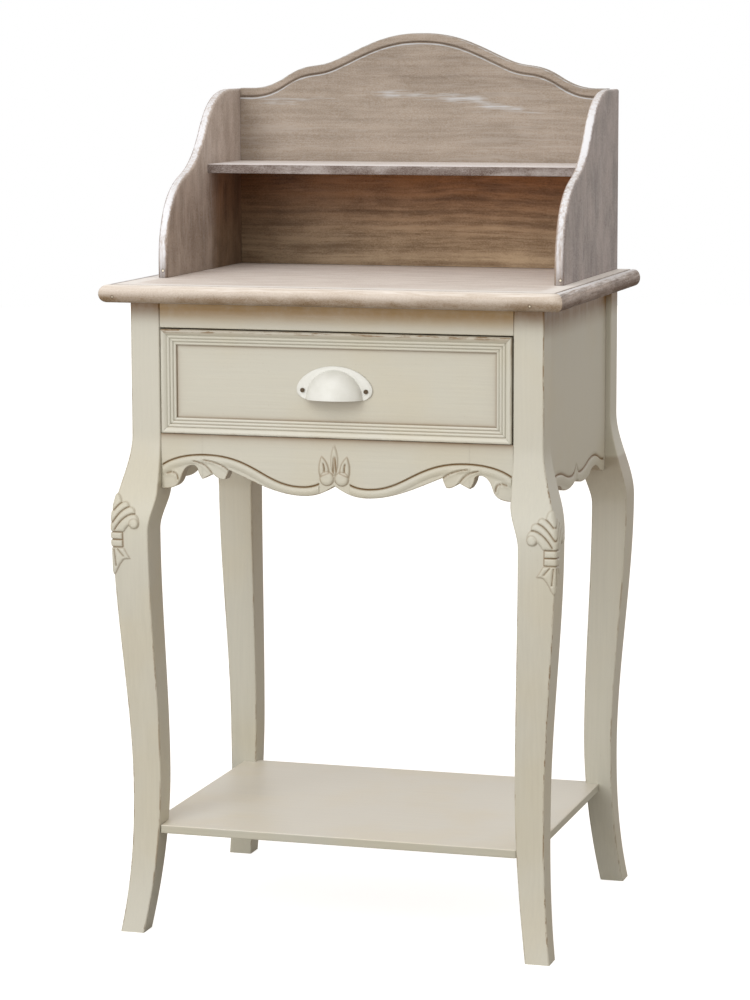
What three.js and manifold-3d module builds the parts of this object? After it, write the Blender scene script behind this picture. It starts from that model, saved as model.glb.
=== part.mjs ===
// A small dressing table in painted and limed wood: cabriole legs, one drawer
// with a moulded front and a cup pull, a lower shelf, and a gallery with an
// arched back and its own shelf standing on the top.
// Millimetres, Z up, front towards -Y, the floor at Z = 0. Each mesh is one
// separate piece of wood or metal.

import * as THREE from 'three';
import { mergeVertices } from 'three/addons/utils/BufferGeometryUtils.js';
import Module from 'manifold-3d';

const wasm = await Module();
wasm.setup();

// Joint line left between two pieces that touch
const fit_gap = 0.3;

// Case: outer faces of the four posts, and the post section
const case_width = 494;
const case_depth = 378;
const post_size = 35.5;

// Table top: height of its upper face, board thickness, and how far the flat
// board reaches past the posts before the rounded edge begins
const top_height = 768.9;
const top_thickness = 20.6;
const top_reach_side = 17;
const top_reach_front = 19;
const nose_depth = 11;

// Front of the case, downwards: the rail, then the drawer's opening
const rail_height = 29.8;
const opening_height = 123.3;

// Cabriole legs. The foot and ankle go by height above the floor, the knee
// and shoulder by their distance below the drawer's opening. The numbers that
// end in out say how far the outer faces stand out from the posts.
const foot_splay_side = 14.7;
const foot_splay_front = 21;
const foot_size = 29.2;
const foot_sweep = 2.3;
const ankle_height = 170;
const ankle_out = 3.2;
const knee_drop = 107;
const knee_out = 19.1;
const shoulder_drop = 2.2;
// Inner faces of the legs, measured the same way from the post's inner faces
const foot_sweep_in = 1.9;
const waist_height = 190;
const waist_in = 3.8;
const hock_drop = 115;
const hock_in = 10.4;
const ear_drop = 65;
const leg_arris = 1.6;

// Rails and panels of the case
const rail_setback = 1.2;
const rail_thickness = 20;
const apron_thickness = 18;
const panel_setback = 6.5;
const panel_thickness = 12;
const rear_panel_drop = 39;
const tenon_length = 12;
const tenon_thickness = 7;
const tenon_shoulder = 5;

// Lower edge of the carved front apron, as depths below the drawer's opening
const cusp_drop = 54.7;
const belly_drop = 67.6;
const spring_drop = 40.6;
const leaf_tip_drop = 52.3;
const leaf_valley_drop = 45.8;
const notch_drop = 36.4;
const lobe_drop = 64.9;

// Carving on the apron: the line that runs above its edge, the two scroll
// ends in the middle and the three flames that stand on them
const bead_width = 10.4;
const bead_crown_drop = 23.8;
const bead_end_drop = 37;
const line_width = 1.3;
const line_depth = 1.2;
const carving_relief = 1.5;
const scroll_radius = 7.8;
const flame_side_drop = 22;
const flame_middle_drop = 9;

// Lower edge of the side panels, as depths below the drawer's opening, and
// the carved line above it
const side_centre_drop = 63.6;
const side_belly_drop = 69.2;
const side_hump_drop = 58.6;
const side_corner_drop = 70.7;
const side_bead = 13;
const side_spike_drop = 44.2;

// Lower shelf
const shelf_height = 127.9;
const shelf_thickness = 10;
const shelf_front_reach = 1;
const shelf_housing = 12;
const shelf_housing_side = 16.6;

// Gallery standing on the table top
const gallery_board = 11.5;
const gallery_depth = 286;
const gallery_height = 218.8;
const gallery_level = 44;
const gallery_back_thickness = 16.6;
const gallery_shelf_height = 129;
const gallery_shelf_thickness = 11;
const gallery_shelf_depth = 123.4;
const gallery_housing = 5;
const arch_rise = 67.4;
const arch_shoulder = 0.7;
const arch_line_inset = 10.5;

// Drawer
const drawer_side_gap = 1.7;
const drawer_top_gap = 1.5;
const drawer_bottom_gap = 1.6;
const drawer_proud = 2.3;
const drawer_panel_thickness = 13.5;
const moulding_width = 18.4;
const moulding_depth = 6.5;
const moulding_band = 7;
const bead_count = 3;
const drawer_board = 12;
const drawer_side_drop = 18.5;
const drawer_box_inset = 3.5;
const drawer_lift = 4.5;
const drawer_rear_gap = 20.5;
const drawer_floor_thickness = 4;
const drawer_floor_rise = 6.3;
const drawer_groove = 5;

// Drawer runners, kickers and stops
const runner_width = 36;
const runner_depth = 18;
const guide_height = 40;
const guide_play = 1.5;
const kicker_depth = 20;
const kicker_play = 2.5;
const stop_width = 12;
const stop_height = 20;

// Corner blocks under the top
const block_reach = 46;
const block_depth = 20;
const block_screw_in = 20;
const block_screw_off = 10;

// Cup pull, on two screws at the standard 76 mm centres
const pull_spacing = 76;
const pull_width = 91;
const pull_height = 38.3;
const pull_plate = 1.8;
const pull_dome_width = 68;
const pull_dome_height = 34;
const pull_projection = 22;
const pull_wall = 1.8;
const pull_rise = 43.7;
const pull_screw_rise = 10;
const pull_ear_rise = 11;

// Screws: head radius, head depth, shank radius, shank length
const pull_screw = { head: 2.65, depth: 1.2, shank: 1.5, length: 13 };
const top_screw = { head: 4.2, depth: 3, shank: 2, length: 28 };
const gallery_screw = { head: 4.2, depth: 3, shank: 2, length: 52 };
const gallery_screw_front_inset = 42;
const gallery_screw_rear_inset = 49;

// Places worked out from the sizes above
const half_width = case_width / 2;
const half_depth = case_depth / 2;
const post_inner_x = half_width - post_size;
const post_inner_y = half_depth - post_size;
const case_top = top_height - top_thickness;
const opening_top = case_top - rail_height;
const apron_top = opening_top - opening_height;
const shoulder_height = apron_top - shoulder_drop;
const knee_height = apron_top - knee_drop;
const ear_height = apron_top - ear_drop;
const hock_height = apron_top - hock_drop;
const rear_panel_bottom = apron_top - rear_panel_drop;
const notch_top = apron_top - notch_drop;
const board_half = half_width + top_reach_side;
const board_front = -(half_depth + top_reach_front);
const rail_front = -half_depth + rail_setback;
const panel_outer_x = half_width - panel_setback;
const panel_inner_x = panel_outer_x - panel_thickness;
const panel_outer_y = half_depth - panel_setback;
const panel_inner_y = panel_outer_y - panel_thickness;
const gallery_inner_x = half_width - gallery_board;
const gallery_back_front = half_depth - gallery_back_thickness;
const gallery_front = half_depth - gallery_depth;
const gallery_shelf_front = gallery_back_front - gallery_shelf_depth;
const gallery_top = top_height + gallery_height;

const front_face = -half_depth - drawer_proud;
const front_panel_face = front_face + moulding_depth;
const front_panel_back = front_panel_face + drawer_panel_thickness;
const front_half = post_inner_x - drawer_side_gap;
const front_bottom = apron_top + drawer_bottom_gap;
const front_top = opening_top - drawer_top_gap;
const box_half = post_inner_x - drawer_box_inset;
const box_bottom = apron_top + drawer_lift + fit_gap;
const box_top = opening_top - drawer_side_drop;
const box_front = front_panel_back + fit_gap;
const box_rear = panel_inner_y - drawer_rear_gap;
const floor_bottom = box_bottom + drawer_floor_rise;
const pull_base = front_bottom + pull_rise;

// The model's origin is midway between its front edge and its rear feet
const origin_shift = (top_reach_front + nose_depth - foot_splay_front) / 2;

// Materials
const cream_paint = { color: 0xcbc4b0, roughness: 0.62, metalness: 0 };
const limed_wood = { color: 0xb3a08b, roughness: 0.7, metalness: 0 };
const bare_wood = { color: 0xc9ab7c, roughness: 0.75, metalness: 0 };
const enamel = { color: 0xe3dfd0, roughness: 0.4, metalness: 0.1 };
const dark_steel = { color: 0x3a352c, roughness: 0.45, metalness: 0.8 };

const dressing_table = new THREE.Group();

function add(name, geometry, finish) {
  const mesh = new THREE.Mesh(geometry, new THREE.MeshStandardMaterial(finish));
  mesh.name = name;
  mesh.position.y = origin_shift;
  dressing_table.add(mesh);
}

// A closed geometry as a solid for cutting and joining
function solid_of(geometry) {
  const bare = geometry.clone();
  bare.deleteAttribute('normal');
  bare.deleteAttribute('uv');
  const welded = mergeVertices(bare, 1e-5);
  return new wasm.Manifold(new wasm.Mesh({
    numProp: 3,
    vertProperties: new Float32Array(welded.attributes.position.array),
    triVerts: new Uint32Array(welded.index.array),
  }));
}

function geometry_of(solid) {
  const mesh = solid.getMesh();
  const geometry = new THREE.BufferGeometry();
  geometry.setAttribute('position', new THREE.BufferAttribute(mesh.vertProperties, 3));
  geometry.setIndex(new THREE.BufferAttribute(mesh.triVerts, 1));
  return geometry;
}

function cut(geometry, tools) {
  let solid = solid_of(geometry);
  for (const tool of tools) {
    solid = solid.subtract(solid_of(tool));
  }
  return geometry_of(solid);
}

function join(geometry, others) {
  let solid = solid_of(geometry);
  for (const other of others) {
    solid = solid.add(solid_of(other));
  }
  return geometry_of(solid);
}

// A rectangular block between two opposite corners
function block(x0, x1, y0, y1, z0, z1) {
  const geometry = new THREE.BoxGeometry(x1 - x0, y1 - y0, z1 - z0);
  return geometry.translate((x0 + x1) / 2, (y0 + y1) / 2, (z0 + z1) / 2);
}

// A shape drawn in X and Z, given a thickness from y0 to y1
function plate_along_y(shape, y0, y1) {
  const geometry = new THREE.ExtrudeGeometry(shape, {
    depth: y1 - y0,
    bevelEnabled: false,
    curveSegments: 8,
  });
  return geometry.rotateX(Math.PI / 2).translate(0, y1, 0);
}

// A shape drawn in Y and Z, given a thickness from x0 to x1
function plate_along_x(shape, x0, x1) {
  const geometry = new THREE.ExtrudeGeometry(shape, {
    depth: x1 - x0,
    bevelEnabled: false,
    curveSegments: 8,
  });
  const turn = new THREE.Matrix4().makeBasis(
    new THREE.Vector3(0, 1, 0),
    new THREE.Vector3(0, 0, 1),
    new THREE.Vector3(1, 0, 0),
  );
  return geometry.applyMatrix4(turn).translate(x0, 0, 0);
}

// A skin stretched over rings of equal point count, closed by flat ends.
// outline is the ring as 2D points, which the two ends are filled from.
function loft(rings, outline) {
  const count = outline.length;
  const points = rings.flat().flatMap((p) => [p.x, p.y, p.z]);
  const faces = [];
  for (let r = 0; r + 1 < rings.length; r += 1) {
    for (let i = 0; i < count; i += 1) {
      const a = r * count + i;
      const b = r * count + ((i + 1) % count);
      faces.push(a, b, b + count, a, b + count, a + count);
    }
  }
  const last = (rings.length - 1) * count;
  const turn = THREE.ShapeUtils.area(outline);
  for (const lid of THREE.ShapeUtils.triangulateShape(outline, [])) {
    const along = THREE.ShapeUtils.area(lid.map((i) => outline[i])) * turn > 0;
    const [a, b, c] = along ? lid : lid.reverse();
    faces.push(c, b, a);
    faces.push(last + a, last + b, last + c);
  }
  const geometry = new THREE.BufferGeometry();
  geometry.setAttribute('position', new THREE.Float32BufferAttribute(points, 3));
  geometry.setIndex(signed_volume(points, faces) < 0 ? faces.reverse() : faces);
  return geometry;
}

function signed_volume(points, faces) {
  const at = (i) => new THREE.Vector3(points[3 * i], points[3 * i + 1], points[3 * i + 2]);
  let volume = 0;
  for (let i = 0; i < faces.length; i += 3) {
    volume += at(faces[i]).dot(at(faces[i + 1]).cross(at(faces[i + 2]))) / 6;
  }
  return volume;
}

// A solid of revolution about Z for a screw whose head is below its shank;
// grow widens it into the hole that it sits in, which is open below the head
function screw_solid(size, grow) {
  const mouth = -size.depth - 4 * grow;
  const profile = [
    new THREE.Vector2(0, mouth),
    new THREE.Vector2(size.head + grow, mouth),
    new THREE.Vector2(size.head + grow, -size.depth * 0.5),
    new THREE.Vector2(size.shank + grow, grow),
    new THREE.Vector2(size.shank + grow, size.length - size.shank),
    new THREE.Vector2(0, size.length + grow),
  ];
  return new THREE.LatheGeometry(profile, 14).rotateX(Math.PI / 2);
}

// Outline that is alike on both sides of its middle: the lower or upper edge
// from the middle outwards, closed by a level line at the given height
function mirrored_outline(edge, level) {
  const right = edge.getPoints(6);
  const left = right.filter((p) => p.x > 0).map((p) => new THREE.Vector2(-p.x, p.y)).reverse();
  const end = right[right.length - 1].x;
  const corners = [new THREE.Vector2(end, level), new THREE.Vector2(-end, level)];
  return new THREE.Shape([...left, ...right, ...corners]);
}

// A drawn line thickened to a given width, as the outline of a groove
function thickened(points, width) {
  const offset = points.map((p, i) => {
    const before = points[Math.max(i - 1, 0)];
    const after = points[Math.min(i + 1, points.length - 1)];
    const along = after.clone().sub(before).normalize();
    return new THREE.Vector2(-along.y, along.x).multiplyScalar(width / 2);
  });
  const above = points.map((p, i) => p.clone().add(offset[i]));
  const below = points.map((p, i) => p.clone().sub(offset[i])).reverse();
  return new THREE.Shape([...above, ...below]);
}

// The same line on the right and on the left of the middle
function both_sides(line) {
  const points = line.getPoints(6);
  return [1, -1].map((side) => points.map((p) => new THREE.Vector2(side * p.x, p.y)));
}

// Smooth S-shaped step from 0 to 1 as t goes from 0 to 1
function ease(t) {
  const u = THREE.MathUtils.clamp(t, 0, 1);
  return u * u * (3 - 2 * u);
}

// How far a leg's outer face stands out from the post's face at height z
function leg_out(z, splay) {
  if (z < ankle_height) {
    const drop = (ankle_height - z) / ankle_height;
    return ankle_out + (splay - ankle_out) * drop ** foot_sweep;
  }
  if (z < knee_height) {
    const rise = (z - ankle_height) / (knee_height - ankle_height);
    return ankle_out + (knee_out - ankle_out) * ease(rise);
  }
  return knee_out * (1 - ease((z - knee_height) / (shoulder_height - knee_height)));
}

// How far a leg's inner face is drawn outwards from the post's inner face
function leg_in(z, splay) {
  const foot = splay + post_size - foot_size;
  if (z < waist_height) {
    const drop = (waist_height - z) / waist_height;
    return waist_in + (foot - waist_in) * drop ** foot_sweep_in;
  }
  if (z < hock_height) {
    const rise = (z - waist_height) / (hock_height - waist_height);
    return waist_in + (hock_in - waist_in) * ease(rise);
  }
  return hock_in * (1 - ease((z - hock_height) / (ear_height - hock_height)));
}

// Heights at which the leg's section is worked out
function leg_stations() {
  const stations = [];
  const stretch = (from, to, steps) => {
    for (let i = 0; i < steps; i += 1) {
      stations.push(from + ((to - from) * i) / steps);
    }
  };
  stretch(0, ankle_height, 9);
  stretch(ankle_height, hock_height, 12);
  stretch(hock_height, ear_height, 6);
  stretch(ear_height, shoulder_height, 6);
  stations.push(shoulder_height, case_top - fit_gap);
  return stations;
}

// The square leg section with its four arrises taken off, at height z
function leg_section(z, side_x, side_y) {
  const x0 = side_x * (post_inner_x + leg_in(z, foot_splay_side));
  const x1 = side_x * (half_width + leg_out(z, foot_splay_side));
  const y0 = side_y * (post_inner_y + leg_in(z, foot_splay_front));
  const y1 = side_y * (half_depth + leg_out(z, foot_splay_front));
  const cx = side_x * leg_arris;
  const cy = side_y * leg_arris;
  return [
    [x0 + cx, y0], [x1 - cx, y0], [x1, y0 + cy], [x1, y1 - cy],
    [x1 - cx, y1], [x0 + cx, y1], [x0, y1 - cy], [x0, y0 + cy],
  ];
}

// Tenons of the rails and panels, which the posts have mortises for.
// Each is given for the +X side, and for the front or the rear.
const tenon_end = post_inner_x + tenon_length;
const rail_tenon_y = rail_front + rail_thickness / 2;
const apron_tenon_y = rail_front + apron_thickness / 2;
const rear_tenon_y = (panel_outer_y + panel_inner_y) / 2;
const side_tenon_x = (panel_outer_x + panel_inner_x) / 2;

const across_tenons = {
  rail: [rail_tenon_y, opening_top + tenon_shoulder, case_top - tenon_shoulder],
  apron: [apron_tenon_y, notch_top, apron_top - tenon_shoulder],
  rear: [rear_tenon_y, rear_panel_bottom + tenon_shoulder, case_top - tenon_shoulder],
};
const side_tenon = [side_tenon_x, ear_height + tenon_shoulder, case_top - tenon_shoulder];

// A tenon running in X at one side; grow widens it into a mortise
function tenon_across([y, z0, z1], side_x, grow) {
  const half = tenon_thickness / 2 + grow;
  const reach = [side_x * (post_inner_x - 1), side_x * (tenon_end + grow)];
  return block(
    Math.min(...reach), Math.max(...reach), y - half, y + half, z0 - grow, z1 + grow,
  );
}

// A tenon running in Y at the front or rear end of a side panel
function tenon_along([x, z0, z1], side_x, side_y, grow) {
  const half = tenon_thickness / 2 + grow;
  const middle = side_x * x;
  const tip = post_inner_y + tenon_length + grow;
  const reach = [side_y * (post_inner_y - 1), side_y * tip];
  return block(
    middle - half, middle + half, Math.min(...reach), Math.max(...reach), z0 - grow, z1 + grow,
  );
}

// Where the lower shelf lies in the legs, with room for the joint line
function shelf_housings(grow) {
  const side_face = post_inner_x + leg_in(shelf_height, foot_splay_side);
  const end_face = post_inner_y + leg_in(shelf_height, foot_splay_front);
  const half = side_face + shelf_housing_side + grow;
  const deep = end_face + shelf_housing + grow;
  return block(
    -half, half, -deep, deep, shelf_height - shelf_thickness - grow, shelf_height + grow,
  );
}

function leg(side_x, side_y) {
  const rings = leg_stations().map((z) => (
    leg_section(z, side_x, side_y).map(([x, y]) => new THREE.Vector3(x, y, z))
  ));
  const outline = leg_section(0, side_x, side_y).map(([x, y]) => new THREE.Vector2(x, y));
  const mortises = [tenon_along(side_tenon, side_x, side_y, fit_gap)];
  if (side_y < 0) {
    mortises.push(tenon_across(across_tenons.rail, side_x, fit_gap));
    mortises.push(tenon_across(across_tenons.apron, side_x, fit_gap));
  } else {
    mortises.push(tenon_across(across_tenons.rear, side_x, fit_gap));
  }
  return cut(loft(rings, outline), [...mortises, shelf_housings(fit_gap)]);
}

add('leg_front_left', leg(-1, -1), cream_paint);
add('leg_front_right', leg(1, -1), cream_paint);
add('leg_rear_left', leg(-1, 1), cream_paint);
add('leg_rear_right', leg(1, 1), cream_paint);

// Rail above the drawer, tenoned into the front posts
function front_top_rail() {
  const half = post_inner_x - fit_gap;
  const rail = block(
    -half, half, rail_front, rail_front + rail_thickness, opening_top, case_top - fit_gap,
  );
  return join(rail, [-1, 1].map((side) => tenon_across(across_tenons.rail, side, 0)));
}

// Right half of the carved lower edge of the front apron, from the centre
// outwards: cusp, belly, rising sweep, two leaves, notch and corner lobe
function apron_edge() {
  const half = post_inner_x - fit_gap;
  const at = (share) => half * share;
  const belly = apron_top - belly_drop;
  const spring = apron_top - spring_drop;
  const tip = apron_top - leaf_tip_drop;
  const valley = apron_top - leaf_valley_drop;
  const lobe = apron_top - lobe_drop;
  const edge = new THREE.Path();
  edge.moveTo(0, apron_top - cusp_drop);
  edge.bezierCurveTo(at(0.05), belly + 6, at(0.1), belly, at(0.18), belly);
  edge.bezierCurveTo(at(0.33), belly, at(0.46), spring - 13, at(0.608), spring);
  edge.quadraticCurveTo(at(0.615), tip + 6, at(0.63), tip + 0.6);
  edge.quadraticCurveTo(at(0.66), tip - 1.2, at(0.7), valley);
  edge.lineTo(at(0.762), tip);
  edge.quadraticCurveTo(at(0.785), tip + 6, at(0.79), notch_top - 3.4);
  edge.quadraticCurveTo(at(0.8), notch_top, at(0.824), notch_top);
  edge.quadraticCurveTo(at(0.865), notch_top - 1, at(0.885), tip + 2);
  edge.bezierCurveTo(at(0.9), lobe + 3, at(0.935), lobe, half, lobe);
  return edge;
}

// Lines cut into the apron's face, drawn on its right half: the long line
// above the edge, one between and beside the leaves, and the lobe's scroll
function apron_lines() {
  const at = (share) => (post_inner_x - fit_gap) * share;
  const belly = apron_top - belly_drop + bead_width;
  const crown = apron_top - bead_crown_drop;
  const valley = apron_top - leaf_valley_drop;
  const spring = apron_top - spring_drop;
  const lobe = apron_top - lobe_drop;
  const bead = new THREE.Path();
  bead.moveTo(at(0.088), belly + 4.4);
  bead.quadraticCurveTo(at(0.13), belly, at(0.19), belly);
  bead.bezierCurveTo(at(0.4), belly, at(0.46), crown, at(0.74), crown);
  bead.quadraticCurveTo(at(0.9), crown, at(0.995), apron_top - bead_end_drop);
  const outer_vein = new THREE.Path();
  outer_vein.moveTo(at(0.615), spring + 1.2);
  outer_vein.quadraticCurveTo(at(0.67), crown - 9, at(0.74), crown - 6);
  const inner_vein = new THREE.Path();
  inner_vein.moveTo(at(0.702), valley + 1.2);
  inner_vein.quadraticCurveTo(at(0.75), valley + 12, at(0.82), crown - 7);
  const scroll = new THREE.Path();
  scroll.moveTo(at(0.905), lobe + 13);
  scroll.quadraticCurveTo(at(0.925), lobe + 20, at(0.965), lobe + 19);
  return [bead, outer_vein, inner_vein, scroll];
}

// A pointed leaf standing on the scroll ends, with its tip at x and tip
function flame(foot_x, tip_x, foot, tip, half_breadth) {
  const middle = foot + (tip - foot) * 0.45;
  const shape = new THREE.Shape();
  shape.moveTo(foot_x - half_breadth * 0.6, foot);
  shape.lineTo(foot_x + half_breadth * 0.6, foot);
  shape.quadraticCurveTo(tip_x + half_breadth * 1.3, middle, tip_x, tip);
  shape.quadraticCurveTo(tip_x - half_breadth * 1.3, middle, foot_x - half_breadth * 0.6, foot);
  return shape;
}

// The raised carving in the middle of the apron
function apron_carving() {
  const scroll_height = apron_top - cusp_drop + scroll_radius + 0.8;
  const foot = scroll_height + 4;
  const side_tip = apron_top - flame_side_drop;
  const raised = (shape) => plate_along_y(shape, rail_front - carving_relief, rail_front + 1);
  const parts = [flame(0, 0, foot, apron_top - flame_middle_drop, 5.5)];
  for (const side of [-1, 1]) {
    const scroll = new THREE.Shape();
    scroll.absarc(side * (scroll_radius + 1.2), scroll_height, scroll_radius, 0, 2 * Math.PI);
    parts.push(scroll, flame(side * 10, side * 14, foot, side_tip, 4.5));
  }
  return parts.map(raised);
}

function front_apron() {
  const outline = mirrored_outline(apron_edge(), apron_top);
  const plate = plate_along_y(outline, rail_front, rail_front + apron_thickness);
  const lines = apron_lines().flatMap(both_sides);
  const grooves = lines.map((line) => (
    plate_along_y(thickened(line, line_width), rail_front - 1, rail_front + line_depth)
  ));
  const tenons = [-1, 1].map((side) => tenon_across(across_tenons.apron, side, 0));
  return join(cut(plate, grooves), [...apron_carving(), ...tenons]);
}

add('front_top_rail', front_top_rail(), cream_paint);
add('front_apron', front_apron(), cream_paint);

// Side panel with its shallow scrolled lower edge, tenoned into two posts
function side_edge() {
  const half = post_inner_y - fit_gap;
  const at = (share) => half * share;
  const centre = apron_top - side_centre_drop;
  const belly = apron_top - side_belly_drop;
  const hump = apron_top - side_hump_drop;
  const corner = apron_top - side_corner_drop;
  const edge = new THREE.Path();
  edge.moveTo(0, centre);
  edge.quadraticCurveTo(at(0.05), centre, at(0.08), centre - 2);
  edge.quadraticCurveTo(at(0.14), belly, at(0.25), belly);
  edge.quadraticCurveTo(at(0.4), belly, at(0.47), belly + 5);
  edge.quadraticCurveTo(at(0.54), hump, at(0.63), hump);
  edge.quadraticCurveTo(at(0.74), hump, at(0.82), corner + 4);
  edge.quadraticCurveTo(at(0.9), corner, half, corner);
  return edge;
}

// The line cut above the side panel's edge, with a pointed rise in its middle
function side_line() {
  const at = (share) => (post_inner_y - fit_gap) * share;
  const belly = apron_top - side_belly_drop + side_bead;
  const hump = apron_top - side_hump_drop + side_bead;
  const corner = apron_top - side_corner_drop + side_bead + 1.5;
  const line = new THREE.Path();
  line.moveTo(at(0.012), apron_top - side_spike_drop);
  line.quadraticCurveTo(at(0.05), belly, at(0.14), belly);
  line.bezierCurveTo(at(0.32), belly, at(0.4), hump, at(0.6), hump);
  line.bezierCurveTo(at(0.76), hump, at(0.82), corner, at(0.96), corner);
  return line;
}

function side_panel(side_x) {
  const outline = mirrored_outline(side_edge(), case_top - fit_gap);
  const faces = [side_x * panel_inner_x, side_x * panel_outer_x];
  const plate = plate_along_x(outline, Math.min(...faces), Math.max(...faces));
  const depths = [side_x * (panel_outer_x - line_depth), side_x * (panel_outer_x + 1)];
  const grooves = both_sides(side_line()).map((line) => (
    plate_along_x(thickened(line, line_width), Math.min(...depths), Math.max(...depths))
  ));
  const tenons = [-1, 1].map((side_y) => tenon_along(side_tenon, side_x, side_y, 0));
  return join(cut(plate, grooves), tenons);
}

function rear_panel() {
  const half = post_inner_x - fit_gap;
  const panel = block(
    -half, half, panel_inner_y, panel_outer_y, rear_panel_bottom, case_top - fit_gap,
  );
  return join(panel, [-1, 1].map((side) => tenon_across(across_tenons.rear, side, 0)));
}

add('side_panel_left', side_panel(-1), cream_paint);
add('side_panel_right', side_panel(1), cream_paint);
add('rear_panel', rear_panel(), cream_paint);

// L-shaped runner with the guide that keeps the drawer straight
function runner(side_x) {
  const outer = panel_inner_x - fit_gap;
  const inner = outer - runner_width;
  const guide = box_half + guide_play;
  const top = box_bottom - fit_gap;
  const shape = new THREE.Shape();
  shape.moveTo(side_x * inner, top - runner_depth);
  shape.lineTo(side_x * outer, top - runner_depth);
  shape.lineTo(side_x * outer, top + guide_height);
  shape.lineTo(side_x * guide, top + guide_height);
  shape.lineTo(side_x * guide, top);
  shape.lineTo(side_x * inner, top);
  const half = post_inner_y - fit_gap;
  return plate_along_y(shape, -half, half);
}

// Strip above the drawer side that stops the drawer from tipping
function kicker(side_x) {
  const outer = panel_inner_x - fit_gap;
  const xs = [side_x * outer, side_x * (outer - runner_width)];
  const half = post_inner_y - fit_gap;
  const bottom = box_top + kicker_play;
  return block(Math.min(...xs), Math.max(...xs), -half, half, bottom, bottom + kicker_depth);
}

// Block on the rear panel that the drawer side meets when the drawer is shut
function stop_block(side_x) {
  const middle = side_x * (box_half - drawer_board / 2);
  return block(
    middle - stop_width / 2, middle + stop_width / 2,
    box_rear + fit_gap, panel_inner_y - fit_gap,
    box_bottom + fit_gap, box_bottom + fit_gap + stop_height,
  );
}

// Corner block notched round the post, screwed up into the table top
function block_walls(side_y) {
  const wall = side_y < 0 ? -(rail_front + rail_thickness) : panel_inner_y;
  return { x: panel_inner_x - fit_gap, y: wall - fit_gap };
}

function block_screw_place(side_x, side_y) {
  const wall = block_walls(side_y);
  const x = side_x * (post_inner_x - block_screw_in);
  const y = side_y * (wall.y - block_screw_off);
  return new THREE.Vector3(x, y, case_top - block_depth + top_screw.depth);
}

function corner_block(side_x, side_y) {
  const wall = block_walls(side_y);
  const post = { x: post_inner_x - fit_gap, y: post_inner_y - fit_gap };
  const outline = [
    [post.x, wall.y], [post.x, post.y], [wall.x, post.y],
    [wall.x, post.y - block_reach], [post.x - block_reach, wall.y],
  ];
  const shape = new THREE.Shape(outline.map(([x, y]) => new THREE.Vector2(side_x * x, side_y * y)));
  const geometry = new THREE.ExtrudeGeometry(shape, { depth: block_depth, bevelEnabled: false });
  geometry.translate(0, 0, case_top - fit_gap - block_depth);
  const place = block_screw_place(side_x, side_y);
  const hole = screw_solid(top_screw, fit_gap).translate(place.x, place.y, place.z);
  return cut(geometry, [hole]);
}

for (const [side, side_x] of [['left', -1], ['right', 1]]) {
  add(`drawer_runner_${side}`, runner(side_x), bare_wood);
  add(`drawer_kicker_${side}`, kicker(side_x), bare_wood);
  add(`drawer_stop_${side}`, stop_block(side_x), bare_wood);
  for (const [end, side_y] of [['front', -1], ['rear', 1]]) {
    const place = block_screw_place(side_x, side_y);
    const screw = screw_solid(top_screw, 0).translate(place.x, place.y, place.z);
    add(`corner_block_${end}_${side}`, corner_block(side_x, side_y), bare_wood);
    add(`top_screw_${end}_${side}`, screw, dark_steel);
  }
}

// Screws that come up through the top into the gallery sides
function gallery_screw_places(side_x) {
  const x = side_x * (half_width - gallery_board / 2);
  const z = case_top + fit_gap + gallery_screw.depth;
  const front = gallery_front + gallery_screw_front_inset;
  const rear = half_depth - gallery_screw_rear_inset;
  return [front, rear].map((y) => new THREE.Vector3(x, y, z));
}

function screw_holes(places, size) {
  return places.map((p) => screw_solid(size, fit_gap).translate(p.x, p.y, p.z));
}

function table_top() {
  const board = block(
    -board_half, board_half, board_front, half_depth, case_top, top_height,
  );
  const corners = [[-1, -1], [1, -1], [-1, 1], [1, 1]];
  const block_places = corners.map(([x, y]) => block_screw_place(x, y));
  const gallery_places = [...gallery_screw_places(-1), ...gallery_screw_places(1)];
  return cut(board, [
    ...screw_holes(block_places, top_screw),
    ...screw_holes(gallery_places, gallery_screw),
  ]);
}

// Section of the rounded edge: a half ellipse on the board's edge, as
// distances out from the board and heights
function nose_section() {
  const radius = top_thickness / 2;
  const middle = case_top + radius;
  const points = [];
  const steps = 14;
  for (let i = 0; i <= steps; i += 1) {
    const angle = -Math.PI / 2 + (Math.PI * i) / steps;
    const out = fit_gap + (nose_depth - fit_gap) * Math.cos(angle);
    points.push([out, middle + radius * Math.sin(angle)]);
  }
  return points;
}

function top_edge_front() {
  const section = nose_section();
  const ring = (side) => section.map(([u, z]) => (
    new THREE.Vector3(side * (board_half + u - fit_gap), board_front - u, z)
  ));
  return loft([ring(-1), ring(1)], section.map(([u, z]) => new THREE.Vector2(u, z)));
}

function top_edge_side(side_x) {
  const section = nose_section();
  const front = section.map(([u, z]) => (
    new THREE.Vector3(side_x * (board_half + u), board_front - u + fit_gap, z)
  ));
  const rear = section.map(([u, z]) => (
    new THREE.Vector3(side_x * (board_half + u), half_depth, z)
  ));
  return loft([front, rear], section.map(([u, z]) => new THREE.Vector2(u, z)));
}

add('table_top', table_top(), limed_wood);
add('top_edge_front', top_edge_front(), limed_wood);
add('top_edge_left', top_edge_side(-1), limed_wood);
add('top_edge_right', top_edge_side(1), limed_wood);

// Lower shelf: housed in all four legs, its front edge brought forward
// between the two front legs
function lower_shelf() {
  const tongue = post_inner_x + leg_in(shelf_height, foot_splay_side) - fit_gap;
  const bottom = shelf_height - shelf_thickness;
  const front_edge = -half_depth - shelf_front_reach;
  const front = block(-tongue, tongue, front_edge, 0, bottom, shelf_height);
  return join(shelf_housings(0), [front]);
}

add('lower_shelf', lower_shelf(), cream_paint);

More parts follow.
